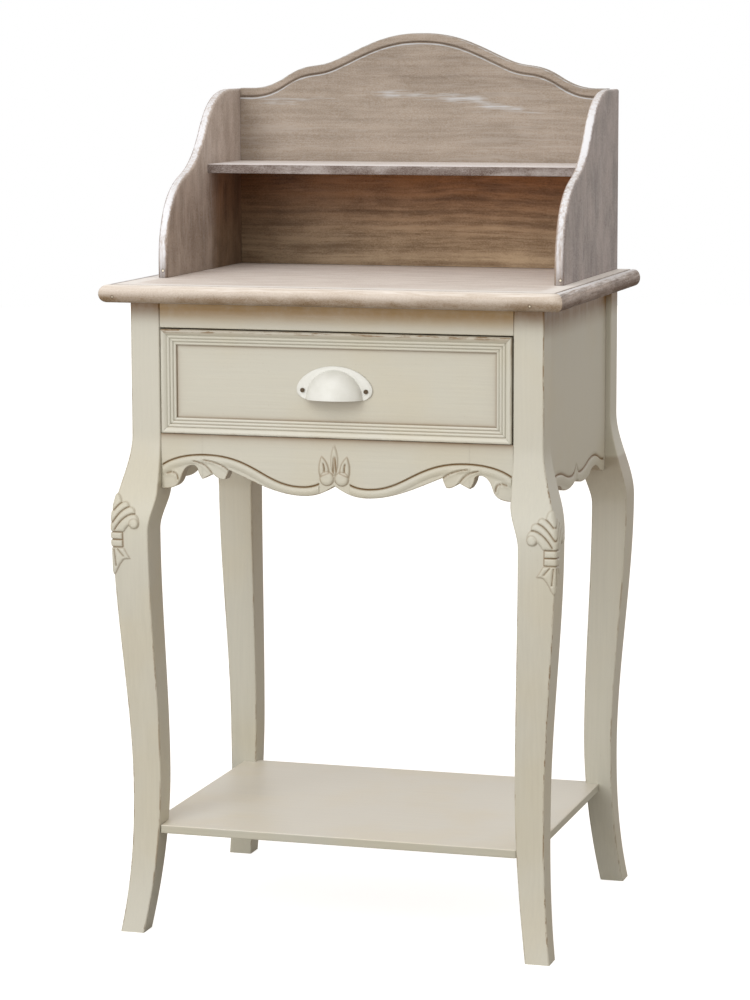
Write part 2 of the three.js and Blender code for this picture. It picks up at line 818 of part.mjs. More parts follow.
// Gallery side: level at the back, then an S-curve down to an upright front
function gallery_side(side_x) {
  const foot = top_height + fit_gap;
  const run = gallery_depth - gallery_level;
  const at = (share) => gallery_front + share * run;
  const up = (share) => top_height + share * gallery_height;
  const shape = new THREE.Shape();
  shape.moveTo(half_depth, foot);
  shape.lineTo(half_depth, gallery_top);
  shape.lineTo(at(1), gallery_top);
  shape.bezierCurveTo(at(0.8), gallery_top, at(0.69), up(0.92), at(0.604), up(0.797));
  shape.bezierCurveTo(at(0.54), up(0.7), at(0.46), up(0.6), at(0.31), up(0.548));
  shape.bezierCurveTo(at(0.145), up(0.49), at(0.058), up(0.4), at(0.012), up(0.21));
  shape.quadraticCurveTo(at(0), up(0.14), at(0), up(0.08));
  shape.lineTo(at(0), foot);
  const faces = [side_x * gallery_inner_x, side_x * half_width];
  const plate = plate_along_x(shape, Math.min(...faces), Math.max(...faces));
  return cut(plate, [
    gallery_shelf_block(fit_gap),
    ...screw_holes(gallery_screw_places(side_x), gallery_screw),
  ]);
}

// The gallery shelf, which is let into both sides; grow makes its housing
function gallery_shelf_block(grow) {
  const half = gallery_inner_x + gallery_housing + grow;
  const top = top_height + gallery_shelf_height;
  return block(
    -half, half, gallery_shelf_front - grow, gallery_back_front - fit_gap + grow,
    top - gallery_shelf_thickness - grow, top + grow,
  );
}

// Arched back between the two sides: a crown with a reversed curve down to a
// rounded shoulder on each side, then a second reversed curve to the ends
function arch_edge() {
  const half = gallery_inner_x - fit_gap;
  const base = gallery_top + arch_shoulder;
  const at = (share) => half * share;
  const up = (share) => base + arch_rise * share;
  const edge = new THREE.Path();
  edge.moveTo(0, base + arch_rise);
  edge.bezierCurveTo(at(0.17), up(1), at(0.27), up(0.83), at(0.4), up(0.62));
  edge.bezierCurveTo(at(0.47), up(0.51), at(0.5), up(0.45), at(0.58), up(0.415));
  edge.bezierCurveTo(at(0.64), up(0.39), at(0.68), up(0.35), at(0.74), up(0.22));
  edge.bezierCurveTo(at(0.8), up(0.09), at(0.85), up(0.01), at(0.93), base);
  edge.lineTo(half, base);
  return edge;
}

// The back board, with a line routed into its face all along the arch
function gallery_back() {
  const outline = mirrored_outline(arch_edge(), top_height + fit_gap);
  const board = plate_along_y(outline, gallery_back_front, half_depth);
  const inset = arch_edge();
  const end = gallery_inner_x - arch_line_inset;
  const lines = both_sides(inset).map((points) => (
    points.filter((p) => Math.abs(p.x) < end).map((p) => new THREE.Vector2(p.x, p.y - arch_line_inset))
  ));
  const grooves = lines.map((line) => (
    plate_along_y(thickened(line, line_width), gallery_back_front - 1, gallery_back_front + line_depth)
  ));
  return cut(board, grooves);
}

add('gallery_side_left', gallery_side(-1), limed_wood);
add('gallery_side_right', gallery_side(1), limed_wood);
add('gallery_shelf', gallery_shelf_block(0), limed_wood);
add('gallery_back', gallery_back(), limed_wood);

for (const [side, side_x] of [['left', -1], ['right', 1]]) {
  const [front, rear] = gallery_screw_places(side_x);
  const screw = (p) => screw_solid(gallery_screw, 0).translate(p.x, p.y, p.z);
  add(`gallery_screw_front_${side}`, screw(front), dark_steel);
  add(`gallery_screw_rear_${side}`, screw(rear), dark_steel);
}

// Drawer front: a flat board framed by four mitred strips of moulding
const pull_panel_z = pull_base + pull_screw_rise;

function pull_screw_solid(side_x, grow) {
  const head_back = front_panel_face - fit_gap - pull_plate - fit_gap;
  const solid = screw_solid(pull_screw, grow).rotateX(-Math.PI / 2);
  return solid.translate(side_x * (pull_spacing / 2), head_back, pull_panel_z);
}

function drawer_front_panel() {
  const board = block(
    -front_half, front_half, front_panel_face, front_panel_back, front_bottom, front_top,
  );
  const reach = box_half - drawer_board + drawer_groove + fit_gap;
  const groove = block(
    -reach, reach,
    front_panel_back - drawer_groove - fit_gap, front_panel_back + 1,
    floor_bottom - fit_gap, floor_bottom + drawer_floor_thickness + fit_gap,
  );
  return cut(board, [groove, pull_screw_solid(-1, fit_gap), pull_screw_solid(1, fit_gap)]);
}

// Section of the moulding, as distances in from the drawer's edge and
// heights above the board: a hollowed outer band, then reeds stepping down
function moulding_section() {
  const points = [[0, fit_gap], [0, moulding_depth - 1], [1, moulding_depth]];
  points.push([moulding_band * 0.45, moulding_depth - 0.5]);
  points.push([moulding_band, moulding_depth - 2.2]);
  const pitch = (moulding_width - moulding_band) / bead_count;
  for (let i = 0; i < bead_count; i += 1) {
    const start = moulding_band + pitch * i;
    const crest = moulding_depth - 1.2 - i * 0.9;
    points.push([start + pitch * 0.25, crest]);
    points.push([start + pitch * 0.65, crest]);
    points.push([start + pitch * 0.95, crest - 1.4]);
  }
  points.push([moulding_width, fit_gap]);
  return points;
}

// One strip: place turns a distance along, a distance in and a height above
// the board into a point
function moulding(length, place) {
  const section = moulding_section();
  const ring = (end) => section.map(([u, v]) => place(end * (length / 2 - u - fit_gap), u, v));
  return loft([ring(-1), ring(1)], section.map(([u, v]) => new THREE.Vector2(u, v)));
}

const front_width = 2 * front_half;
const front_height = front_top - front_bottom;
const front_middle = (front_top + front_bottom) / 2;

const moulding_top = moulding(front_width, (s, u, v) => (
  new THREE.Vector3(s, front_panel_face - v, front_top - u)
));
const moulding_bottom = moulding(front_width, (s, u, v) => (
  new THREE.Vector3(s, front_panel_face - v, front_bottom + u)
));
const moulding_side = (side_x) => moulding(front_height, (s, u, v) => (
  new THREE.Vector3(side_x * (front_half - u), front_panel_face - v, front_middle + s)
));

add('drawer_front_panel', drawer_front_panel(), cream_paint);
add('drawer_moulding_top', moulding_top, cream_paint);
add('drawer_moulding_bottom', moulding_bottom, cream_paint);
add('drawer_moulding_left', moulding_side(-1), cream_paint);
add('drawer_moulding_right', moulding_side(1), cream_paint);

// Drawer side with the groove that holds the drawer bottom
function drawer_side(side_x) {
  const inner = box_half - drawer_board;
  const groove = inner + drawer_groove;
  const groove_bottom = floor_bottom - fit_gap;
  const groove_top = floor_bottom + drawer_floor_thickness + fit_gap;
  const outline = [
    [inner, box_bottom], [box_half, box_bottom], [box_half, box_top], [inner, box_top],
    [inner, groove_top], [groove, groove_top], [groove, groove_bottom], [inner, groove_bottom],
  ];
  const shape = new THREE.Shape(outline.map(([x, z]) => new THREE.Vector2(side_x * x, z)));
  return plate_along_y(shape, box_front, box_rear);
}

function drawer_back() {
  const half = box_half - drawer_board - fit_gap;
  const bottom = floor_bottom + drawer_floor_thickness + fit_gap;
  return block(-half, half, box_rear - drawer_board, box_rear, bottom, box_top);
}

function drawer_bottom() {
  const half = box_half - drawer_board + drawer_groove - fit_gap;
  return block(
    -half, half, front_panel_back - drawer_groove + fit_gap, box_rear - fit_gap,
    floor_bottom, floor_bottom + drawer_floor_thickness,
  );
}

add('drawer_side_left', drawer_side(-1), bare_wood);
add('drawer_side_right', drawer_side(1), bare_wood);
add('drawer_back', drawer_back(), bare_wood);
add('drawer_bottom', drawer_bottom(), bare_wood);

// Ellipsoid with its middle on the drawer front at the pull's lower edge
function dome(width, height, depth) {
  const ball = new THREE.SphereGeometry(1, 28, 18).scale(width / 2, depth, height);
  return ball.translate(0, front_panel_face - fit_gap, pull_base);
}

// Flat plate of the pull: straight below, with rounded ears for the screws
function pull_outline() {
  const half = pull_width / 2;
  const ear = pull_base + pull_ear_rise;
  const top = pull_base + pull_height;
  const shape = new THREE.Shape();
  shape.moveTo(-half + 14, pull_base);
  shape.lineTo(half - 14, pull_base);
  shape.quadraticCurveTo(half, pull_base + 1, half, ear);
  shape.bezierCurveTo(half, ear + 10, half * 0.62, top, 0, top);
  shape.bezierCurveTo(-half * 0.62, top, -half, ear + 10, -half, ear);
  shape.quadraticCurveTo(-half, pull_base + 1, -half + 14, pull_base);
  return shape;
}

// Cup pull: a quarter-egg shell on its plate, open below for the fingers
function cup_pull() {
  const seat = front_panel_face - fit_gap;
  const plate = plate_along_y(pull_outline(), seat - pull_plate, seat);
  const outer = dome(pull_dome_width, pull_dome_height, pull_projection);
  const inner = dome(
    pull_dome_width - 2 * pull_wall, pull_dome_height - pull_wall, pull_projection - pull_wall,
  );
  const far = pull_width;
  const behind = block(-far, far, seat, seat + far, pull_base - far, pull_base + far);
  const below = block(-far, far, seat - far, seat + far, pull_base - far, pull_base);
  const holes = [-1, 1].map((side) => (
    pull_screw_solid(side, fit_gap)
  ));
  return cut(join(plate, [outer]), [inner, behind, below, ...holes]);
}

add('cup_pull', cup_pull(), enamel);
add('pull_screw_left', pull_screw_solid(-1, 0), dark_steel);
add('pull_screw_right', pull_screw_solid(1, 0), dark_steel);

export default dressing_table;
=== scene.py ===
# %% [markdown]
# # A dressing table in cream paint and limed wood
# The CAD model of the table is loaded first and stays as it is. Every new
# surface is worked out against it and stays inside its box.
# %% Load the frame
import math

import bpy
import numpy as np
from mathutils import Matrix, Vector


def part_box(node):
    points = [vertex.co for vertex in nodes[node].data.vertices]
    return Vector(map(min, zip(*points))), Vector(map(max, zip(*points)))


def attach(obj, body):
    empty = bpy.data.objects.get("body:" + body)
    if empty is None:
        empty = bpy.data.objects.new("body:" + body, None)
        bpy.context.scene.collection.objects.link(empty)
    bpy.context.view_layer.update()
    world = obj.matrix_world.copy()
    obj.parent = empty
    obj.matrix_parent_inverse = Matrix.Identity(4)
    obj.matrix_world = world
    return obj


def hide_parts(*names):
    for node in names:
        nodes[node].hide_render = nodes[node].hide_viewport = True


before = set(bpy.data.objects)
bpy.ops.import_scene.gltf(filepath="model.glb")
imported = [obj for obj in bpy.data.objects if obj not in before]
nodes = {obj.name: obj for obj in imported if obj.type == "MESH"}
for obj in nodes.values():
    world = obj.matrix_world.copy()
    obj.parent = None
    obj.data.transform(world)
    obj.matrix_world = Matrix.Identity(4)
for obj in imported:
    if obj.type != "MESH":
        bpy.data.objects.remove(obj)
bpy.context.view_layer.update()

# %% [markdown]
# # Sizes
# All shapes are worked out in millimetres, with the case centred on X = 0 and
# Y = 0, as a joiner's drawing would have it. The last step of every piece
# turns millimetres into metres and moves it 4.5 mm back, onto the CAD.
# %% Named sizes, in millimetres
BACK_SHIFT = 4.5
HALF_WIDTH, HALF_DEPTH, POST = 247.0, 189.0, 35.5
POST_IN_X, POST_IN_Y = HALF_WIDTH - POST, HALF_DEPTH - POST
TOP_HEIGHT, TOP_THICKNESS = 768.9, 20.6
CASE_TOP = TOP_HEIGHT - TOP_THICKNESS
OPENING_TOP = CASE_TOP - 29.8
APRON_TOP = OPENING_TOP - 123.3
BOARD_HALF, BOARD_FRONT, NOSE = HALF_WIDTH + 17, -HALF_DEPTH - 19, 11.0
GALLERY_DEPTH, GALLERY_HEIGHT, GALLERY_BOARD, BACK_BOARD = 286.0, 218.8, 11.5, 16.6
GALLERY_INNER, BACK_FACE = HALF_WIDTH - GALLERY_BOARD, HALF_DEPTH - BACK_BOARD
GAP = 0.3
SIDES = (("left", -1), ("right", 1))


def to_metres(points):
    """Case millimetres to metres in the CAD's frame: (x, y + 4.5, z) / 1000."""
    return (np.asarray(points, float) + [0.0, BACK_SHIFT, 0.0]) / 1000.0


def together(*values):
    """Points from one array for each coordinate, all stretched to one shape."""
    return np.stack(np.broadcast_arrays(*values), -1)


print("drawer opening from", round(APRON_TOP, 1), "to", round(OPENING_TOP, 1), "mm")

# %% [markdown]
# # The camera
# The photograph is taken from in front and a little to the right with a long
# lens, from about the height of the gallery's arch. A 36 mm sensor lies along
# the long side of the 750 x 1000 picture, so the lens is 36 mm times the focal
# length in pixels, over 1000.
# %% Camera
FOCAL_PIXELS, SENSOR, PICTURE_PIXELS = 3222.904, 36, 1000
CAMERA_PLACE = (1102.570, -3683.115, 1048.435)
TURN, TILT, ROLL = np.radians([16.77967, 8.13561, -0.15483])


def looking(forward, roll=0.0):
    """Right, up and backward axes of what looks along forward and is rolled
    about its line of sight."""
    forward = forward / np.linalg.norm(forward)
    level = np.cross(forward, [0, 0, 1])
    level /= np.linalg.norm(level)
    upright = np.cross(level, forward)
    right = level * math.cos(roll) + upright * math.sin(roll)
    return np.column_stack([right, upright * math.cos(roll) - level * math.sin(roll), -forward])


def put(name, data, axes=None, place=(0, 0, 0)):
    """Adds an object to the scene, turned to axes and moved to place."""
    made = bpy.data.objects.new(name, data)
    bpy.context.scene.collection.objects.link(made)
    if axes is not None:
        pose = np.eye(4)
        pose[:3, :3], pose[:3, 3] = axes, place
        made.matrix_world = Matrix(pose.tolist())
    return made


def add_camera():
    """A camera turned by TURN about Z, tilted down by TILT, then rolled."""
    data = bpy.data.cameras.new("camera")
    data.lens, data.sensor_width = FOCAL_PIXELS * SENSOR / PICTURE_PIXELS, SENSOR
    forward = np.array([-math.sin(TURN) * math.cos(TILT), math.cos(TURN) * math.cos(TILT), -math.sin(TILT)])
    made = put("camera", data, looking(forward, ROLL), to_metres(CAMERA_PLACE))
    bpy.context.scene.camera = made
    return made


camera = add_camera()
print("camera at", [round(v, 3) for v in camera.matrix_world.translation])

# %% [markdown]
# # Curves in numpy
# The scrolled edges and the carved lines are smooth curves that control points
# pull into shape, as a sawn pattern would be drawn. A whole curve is worked
# out at once: the weights of all its points times its control points. Then it
# is cut into even steps, so that the mesh has faces of one size along it.
# %% Curve helpers
def drawn(start, *pieces, steps=24):
    """Smooth pieces end to end from start. Each piece lists its further
    control points, and point(t) is the sum of comb(n, k) t^k (1-t)^(n-k)
    times control point k, for t from 0 to 1."""
    curve = [np.array([start], float)]
    t = np.linspace(0, 1, steps + 1)[1:, None]
    for piece in pieces:
        control = np.vstack([curve[-1][-1:], np.reshape(piece, (-1, 2))])
        n = len(control) - 1
        k = np.arange(n + 1)
        choose = np.array([math.comb(n, i) for i in range(n + 1)])
        curve.append((choose * t**k * (1 - t)**(n - k)) @ control)
    return np.vstack(curve)


def below_drawer(half, *path):
    """A curve given by shares of a half width and drops below the drawer."""
    return drawn(*path) * [half, -1] + [0, APRON_TOP]


def even(curve, step):
    """The same curve with points an equal length apart, about step long."""
    length = np.hypot(*np.diff(curve, axis=0).T)
    run = np.concatenate([[0], np.cumsum(length)])
    at = np.linspace(0, run[-1], int(round(run[-1] / step)) + 1)
    return np.column_stack([np.interp(at, run, curve[:, i]) for i in (0, 1)])


def mirrored(curve):
    """A curve from the middle outwards, and its mirror image before it."""
    return np.vstack([curve[:0:-1] * [-1, 1], curve])


def ease(t):
    """Smooth S-shaped step from 0 to 1: u^2 (3 - 2u), u being t held to 0..1."""
    u = np.clip(t, 0, 1)
    return u * u * (3 - 2 * u)


def bell(x, width):
    """Fade to both sides of 0: exp(-(x / width)^2)."""
    return np.exp(-(x / width)**2)


test = even(drawn((0, 0), [(0, 10), (10, 10)]), 1)
print("a quarter turn of 10 mm, cut evenly:", len(test), "points")

# %% [markdown]
# # Carving as a height map
# Shallow carving is a height above the flat wood that depends on the place on
# the face. A carved form has an outline, and cuts inside it. Its height grows
# from these lines like a quarter circle, so each lobe between two cuts is
# rounded as a gouge would leave it. Where wax and dirt stay in the cuts is
# worked out from the same distances.
# %% Carving helpers
PAIRS_AT_ONCE = 2_000_000
FAR_AWAY = 99.0


def distance(points, lines):
    """Shortest distance from each 2D point to any segment of the lines: the
    point is dropped onto each segment, and held between its two ends."""
    start = np.vstack([line[:-1] for line in lines])
    along = np.vstack([line[1:] for line in lines]) - start
    square = np.maximum((along**2).sum(1), 1e-9)

    def nearest(part):
        offset = part[:, None] - start
        share = np.clip((offset * along).sum(2) / square, 0, 1)
        return np.sqrt(((offset - share[..., None] * along)**2).sum(2).min(1))

    parts = 1 + len(points) * len(start) // PAIRS_AT_ONCE
    return np.concatenate([nearest(part) for part in np.array_split(points, parts)])


def inside(points, outline):
    """True where a 2D point is inside: a level ray from it crosses the
    outline an odd number of times."""
    a, b = outline, np.roll(outline, -1, 0)
    x, y = points[:, :1], points[:, 1:]
    rise = np.where(a[:, 1] == b[:, 1], 1e-9, b[:, 1] - a[:, 1])
    crossing = a[:, 0] + (y - a[:, 1]) * (b[:, 0] - a[:, 0]) / rise
    return (((a[:, 1] > y) != (b[:, 1] > y)) & (x < crossing)).sum(1) % 2 == 1


def carve(points, outline, cuts, height, width, cut_stain, rim_stain):
    """Height and stain of one carved form. Inside its outline the height is
    height * sqrt(1 - (1 - d/width)^2), d being the distance to the nearest
    outline or cut, at most width. The stain is a bell 0.8 mm wide about the
    outline and 0.85 mm about the cuts."""
    rise, stain_and_shade = np.zeros(len(points)), np.zeros(len(points))
    low, high = outline.min(0) - 4, outline.max(0) + 4
    near = np.flatnonzero(((points > low) & (points < high)).all(1))
    if len(near) == 0:
        return rise, stain_and_shade
    spot = points[near]
    within = inside(spot, outline)
    rim = distance(spot, [np.vstack([outline, outline[:1]])])
    cut = distance(spot, cuts) if len(cuts) else np.full(len(spot), FAR_AWAY)
    reach = np.clip(np.minimum(rim, cut) / width, 0, 1)
    rise[near] = within * (height * np.sqrt(1 - (1 - reach)**2) - 0.4 * bell(cut, 0.8))
    stain_and_shade[near] = np.maximum(rim_stain * bell(rim, 0.8), within * cut_stain * bell(cut, 0.85))
    return rise, stain_and_shade


def ring(centre, radius):
    """A circle as a closed outline."""
    turn = np.linspace(0, 2 * math.pi, 40, False)
    return centre + radius * np.column_stack([np.cos(turn), np.sin(turn)])


square = np.array([[0, 0], [10, 0], [10, 10], [0, 10.0]])
pillow = carve(np.array([[5.0, 5.0]]), square, (), 1.6, 3.0, 1.0, 0.35)
print("a pillow 10 mm wide rises", pillow[0].round(2), "mm")

# %% [markdown]
# # Meshes from whole arrays
# Every new piece is a grid of points: rows along one parameter, columns along the other, quads between them,
# and a cap on the first and the last row. Two values are kept on the points for the finish: stain, where
# brown wax lies in a hollow and where shade is painted in brown, and rub, where an arris is worn and where a
# highlight is painted in white on the limed wood. The volume that the faces enclose shows which way they
# point, so they are turned over where it is negative.
# %% Mesh helpers
def grid_quads(rows, columns, wrap=False):
    """Corner numbers of the quads of a grid stored row by row; wrap joins the
    last column to the first."""
    r = np.arange(rows - 1)[:, None] * columns
    c = np.arange(columns if wrap else columns - 1)[None, :]
    n = (c + 1) % columns
    return np.stack([r + c, r + n, r + columns + n, r + columns + c], -1).reshape(-1, 4)


def enclosed(points, quads, caps):
    """Six times the volume inside: the sum of a . (b x c) over all triangles."""
    fans = [quads[:, [0, 1, 2]], quads[:, [0, 2, 3]]]
    for cap in caps:
        fans.append(np.column_stack([np.full(len(cap) - 2, cap[0]), cap[1:-1], cap[2:]]))
    a, b, c = (points[np.vstack(fans)[:, i]] for i in range(3))
    return float((a * np.cross(b, c)).sum())


def make_piece(name, grid, stain_and_shade=0.0, rub_and_highlight=0.0, sharp=38, wrap=True):
    """One closed mesh object from a grid of points in case millimetres.
    Edges sharper than sharp degrees stay crisp."""
    shape = grid.shape[:2]
    points = grid.reshape(-1, 3)
    quads = grid_quads(*shape, wrap)
    row = np.arange(shape[1])
    caps = [row[::-1], row + (shape[0] - 1) * shape[1]]
    turn = -1 if enclosed(points - points.mean(0), quads, caps) < 0 else 1
    faces = quads[:, ::turn].tolist() + [cap[::turn].tolist() for cap in caps]
    mesh = bpy.data.meshes.new(name)
    mesh.from_pydata(to_metres(points).tolist(), [], faces)
    for label, values in (("stain_and_shade", stain_and_shade), ("rub_and_highlight", rub_and_highlight)):
        mask = mesh.attributes.new(label, "FLOAT", "POINT")
        mask.data.foreach_set("value", np.broadcast_to(values, shape).astype(np.float32).ravel())
    mesh.shade_smooth()
    mesh.set_sharp_from_angle(angle=math.radians(sharp))
    return put(name, mesh)


def stands_for(piece, body, material, slot, *cad_nodes):
    """Gives a piece its material, the body that it moves with, and the CAD
    nodes that it is shown in place of."""
    piece.data.materials.append(material)
    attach(piece, body)
    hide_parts(*cad_nodes)
    print(f"{piece.name}: {len(piece.data.vertices)} points")
    return piece


print("a 3 x 4 grid has", len(grid_quads(3, 4)), "quads")

# %% [markdown]
# # Node helpers
# A material is a small network. Here the output of a node is a wire, which can
# be added, subtracted and multiplied like a number, so that a material reads
# like a list of its layers.
# %% Node helpers
FINISH = ("Color", "Roughness", "Height")


class Wire:
    """An output socket. Each sum, difference or product of a wire with a
    wire or a number adds one Math node."""

    def __init__(self, socket):
        self.socket, self.tree = socket, socket.id_data

    def math(self, operation, *others, clamp=False):
        values = dict(enumerate((self, *others)))
        return node(self.tree, "Math", values, operation=operation, use_clamp=clamp)

    def __add__(self, other):
        return self.math("ADD", other)

    def __sub__(self, other):
        return self.math("SUBTRACT", other)

    def __mul__(self, other):
        return self.math("MULTIPLY", other)

    def __rsub__(self, number):
        return node(self.tree, "Math", {0: number, 1: self}, operation="SUBTRACT")


def node(tree, kind, inputs=None, output=0, **options):
    """Adds a shader node; inputs maps a socket to a value or a wire. output
    names the output that comes back as a wire, or several of them."""
    made = tree.nodes.new("ShaderNode" + kind)
    for option, value in options.items():
        setattr(made, option, value)
    for key, value in (inputs or {}).items():
        if isinstance(value, Wire):
            tree.links.new(value.socket, made.inputs[key])
        else:
            made.inputs[key].default_value = value
    if isinstance(output, tuple):
        return [Wire(made.outputs[key]) for key in output]
    return Wire(made.outputs[output])


def link(target, wires):
    """Links wires to the inputs of a node that they are listed under."""
    for label, wire in wires.items():
        target.id_data.links.new(wire.socket, target.inputs[label])


def blend(share, a, b, way="MIX"):
    """Colour a changed into b by share, from 0 to 1."""
    tree = next(value.tree for value in (share, a, b) if isinstance(value, Wire))
    return node(tree, "Mix", {0: share, 6: a, 7: b}, 2, data_type="RGBA", blend_type=way)


def shaded(colour, level):
    """A colour times a level that is the same for red, green and blue."""
    grey = node(level.tree, "CombineColor", {0: level, 1: level, 2: level})
    return blend(1.0, colour, grey, "MULTIPLY")


def highest(*wires):
    """The largest of some wires, held to 0..1."""
    most = wires[0]
    for wire in wires[1:]:
        most = most.math("MAXIMUM", wire, clamp=True)
    return most


def between(value, low, high, to_low=0.0, to_high=1.0):
    """value stretched smoothly so that low..high becomes to_low..to_high."""
    inputs = {"Value": value, "From Min": low, "From Max": high, "To Min": to_low, "To Max": to_high}
    return node(value.tree, "MapRange", inputs, "Result", interpolation_type="SMOOTHSTEP")


def noise(place, scale, detail=3.0, roughness=0.5, stretch=None):
    """Cloudy values about 0.5; stretch makes them longer along an axis."""
    if stretch is not None:
        place = node(place.tree, "Mapping", {"Vector": place, "Scale": stretch})
    inputs = {"Vector": place, "Scale": scale, "Detail": detail, "Roughness": roughness}
    return node(place.tree, "TexNoise", inputs, "Fac")


def masks(tree):
    """The stain and the rub that are kept on the points of a piece: wax with painted shade, and wear with
    painted highlights.
    """
    return {label.title(): node(tree, "Attribute", None, "Fac", attribute_name=label)
            for label in ("stain_and_shade", "rub_and_highlight")}


def new_group(name, vectors, colours, values):
    """A node group with named inputs of three kinds, which gives back a
    colour, a roughness and a height."""
    tree = bpy.data.node_groups.new(name, "ShaderNodeTree")
    for kind, labels in (("Vector", vectors), ("Color", colours), ("Float", values)):
        for label in labels:
            tree.interface.new_socket(label, in_out="INPUT", socket_type="NodeSocket" + kind)
    for label, kind in zip(FINISH, ("Color", "Float", "Float")):
        tree.interface.new_socket(label, in_out="OUTPUT", socket_type="NodeSocket" + kind)
    given = {socket.name: Wire(socket) for socket in tree.nodes.new("NodeGroupInput").outputs}
    return tree, given, tree.nodes.new("NodeGroupOutput")


def new_material(name, specular=0.5):
    """A material, its tree, its shader, and the place on the object."""
    made = bpy.data.materials.new(name)
    made.use_nodes = True
    tree = made.node_tree
    shader = tree.nodes["Principled BSDF"]
    shader.inputs["Specular IOR Level"].default_value = specular
    return made, tree, shader, node(tree, "TexCoord", None, "Object")


def surface(shader, colour, roughness, height, strength, depth):
    """Links a finish to the shader; height becomes a bump of depth metres."""
    bump = node(shader.id_data, "Bump", {"Strength": strength, "Distance": depth, "Height": height})
    link(shader, {"Base Color": colour, "Roughness": roughness, "Normal": bump})


def srgb(red, green, blue):
    """A colour as seen on a screen, 0..255, as the linear values nodes use."""
    c = np.array([red, green, blue]) / 255
    linear = np.where(c <= 0.04045, c / 12.92, ((c + 0.055) / 1.055)**2.4)
    return (*linear.tolist(), 1.0)


print("mid cream in linear light:", [round(v, 3) for v in srgb(200, 196, 179)])

# %% [markdown]
# # Old cream paint
# The finish is a matt cream paint brushed over brown stain. It is rubbed
# through along the arrises, and brown wax stays in the cuts. The group takes
# the paint's colour and the two masks, and gives back a colour, a roughness
# and a height with the brush marks. It is used by all the painted pieces.
# %% Paint group and material
FLECKS = 0.15
UPRIGHT, ACROSS = (320, 320, 9), (9, 320, 320)
CREAM = (195, 192, 178)


def build_paint_group():
    """Colour = paint, clouded a little, turned to the undercoat by the rub and stain masks, where the stain
    is wax and, on several pieces, painted shade; height = brush marks, lower where the paint is gone."""
    tree, given, result = new_group("old paint", ["Place", "Brushed Place"], ["Paint", "Undercoat"],
                                    ["Stain_And_Shade", "Rub_And_Highlight"])
    place, brushed, paint = given["Place"], given["Brushed Place"], given["Paint"]
    warm = blend(1.0, paint, (1.0, 0.975, 0.925, 1), "MULTIPLY")
    paint = blend(between(noise(place, 7, 3), 0.42, 0.66), paint, warm)
    brush = noise(brushed, 1, 4, 0.6)
    paint = shaded(paint, between(brush, 0.25, 0.75, 0.965, 1.02))
    patch = noise(place, 45, 4, 0.65)
    chipped = patch * 0.4 + noise(brushed, 2.6, 3, 0.6) * 0.6
    worn = given["Rub_And_Highlight"] * between(chipped, 0.525, 0.555)
    fleck = between(noise(place, 420, 2), 0.70, 0.76) * FLECKS
    # The stain mask is wax and also painted shade; both turn the paint to the undercoat's brown.
    wax_and_shade = given["Stain_And_Shade"] * between(patch, 0.2, 0.6, 0.85, 1.0)
    link(result, {"Color": blend(highest(worn, fleck, wax_and_shade), paint, given["Undercoat"]),
                  "Roughness": between(brush, 0.2, 0.8, 0.36, 0.48), "Height": brush - worn * 0.8})
    return tree


paint_group = build_paint_group()


def painted(name, paint, brush, undercoat=(120, 86, 36), upper=None):
    """A painted finish; brush is how fine the marks are along X, Y and Z. upper gives a height in metres and
    the colour of the face that lies there, painted lighter as painted light on a top face."""
    made, tree, shader, place = new_material(name)
    paint = srgb(*paint)
    if upper:
        height = node(tree, "SeparateXYZ", {0: place}, "Z")
        paint = blend(between(height, upper[0] - 0.0012, upper[0] - 0.0002), paint, srgb(*upper[1]))
    marks = node(tree, "Mapping", {"Vector": place, "Scale": brush})
    layers = {"Place": place, "Brushed Place": marks, "Paint": paint, "Undercoat": srgb(*undercoat),
              **masks(tree)}
    surface(shader, *node(tree, "Group", layers, FINISH, node_tree=paint_group), 0.35, 0.0004)
    return made


cream_upright = painted("cream paint, brushed upright", (199, 197, 184), UPRIGHT)
cream_across = painted("cream paint, brushed across", CREAM, ACROSS)
# The lower shelf's top face is painted lighter than its edges: painted light from above.
cream_shelf = painted("cream paint, lower shelf", (186, 184, 171), ACROSS,
                      upper=(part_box("lower_shelf")[1][2], (225, 222, 212)))
# The rail's undercoat is also the brown of the shade painted under the top.
cream_rail = painted("cream paint, rail", CREAM, ACROSS, undercoat=(146, 111, 48))
# A lighter copy of the cream for the lower moulding: painted light on the strip that catches the lamps.
cream_painted_lighter = painted("cream paint, lower moulding", (208, 206, 194), ACROSS)
print("paint inputs:", [socket.name for socket in paint_group.interface.items_tree])
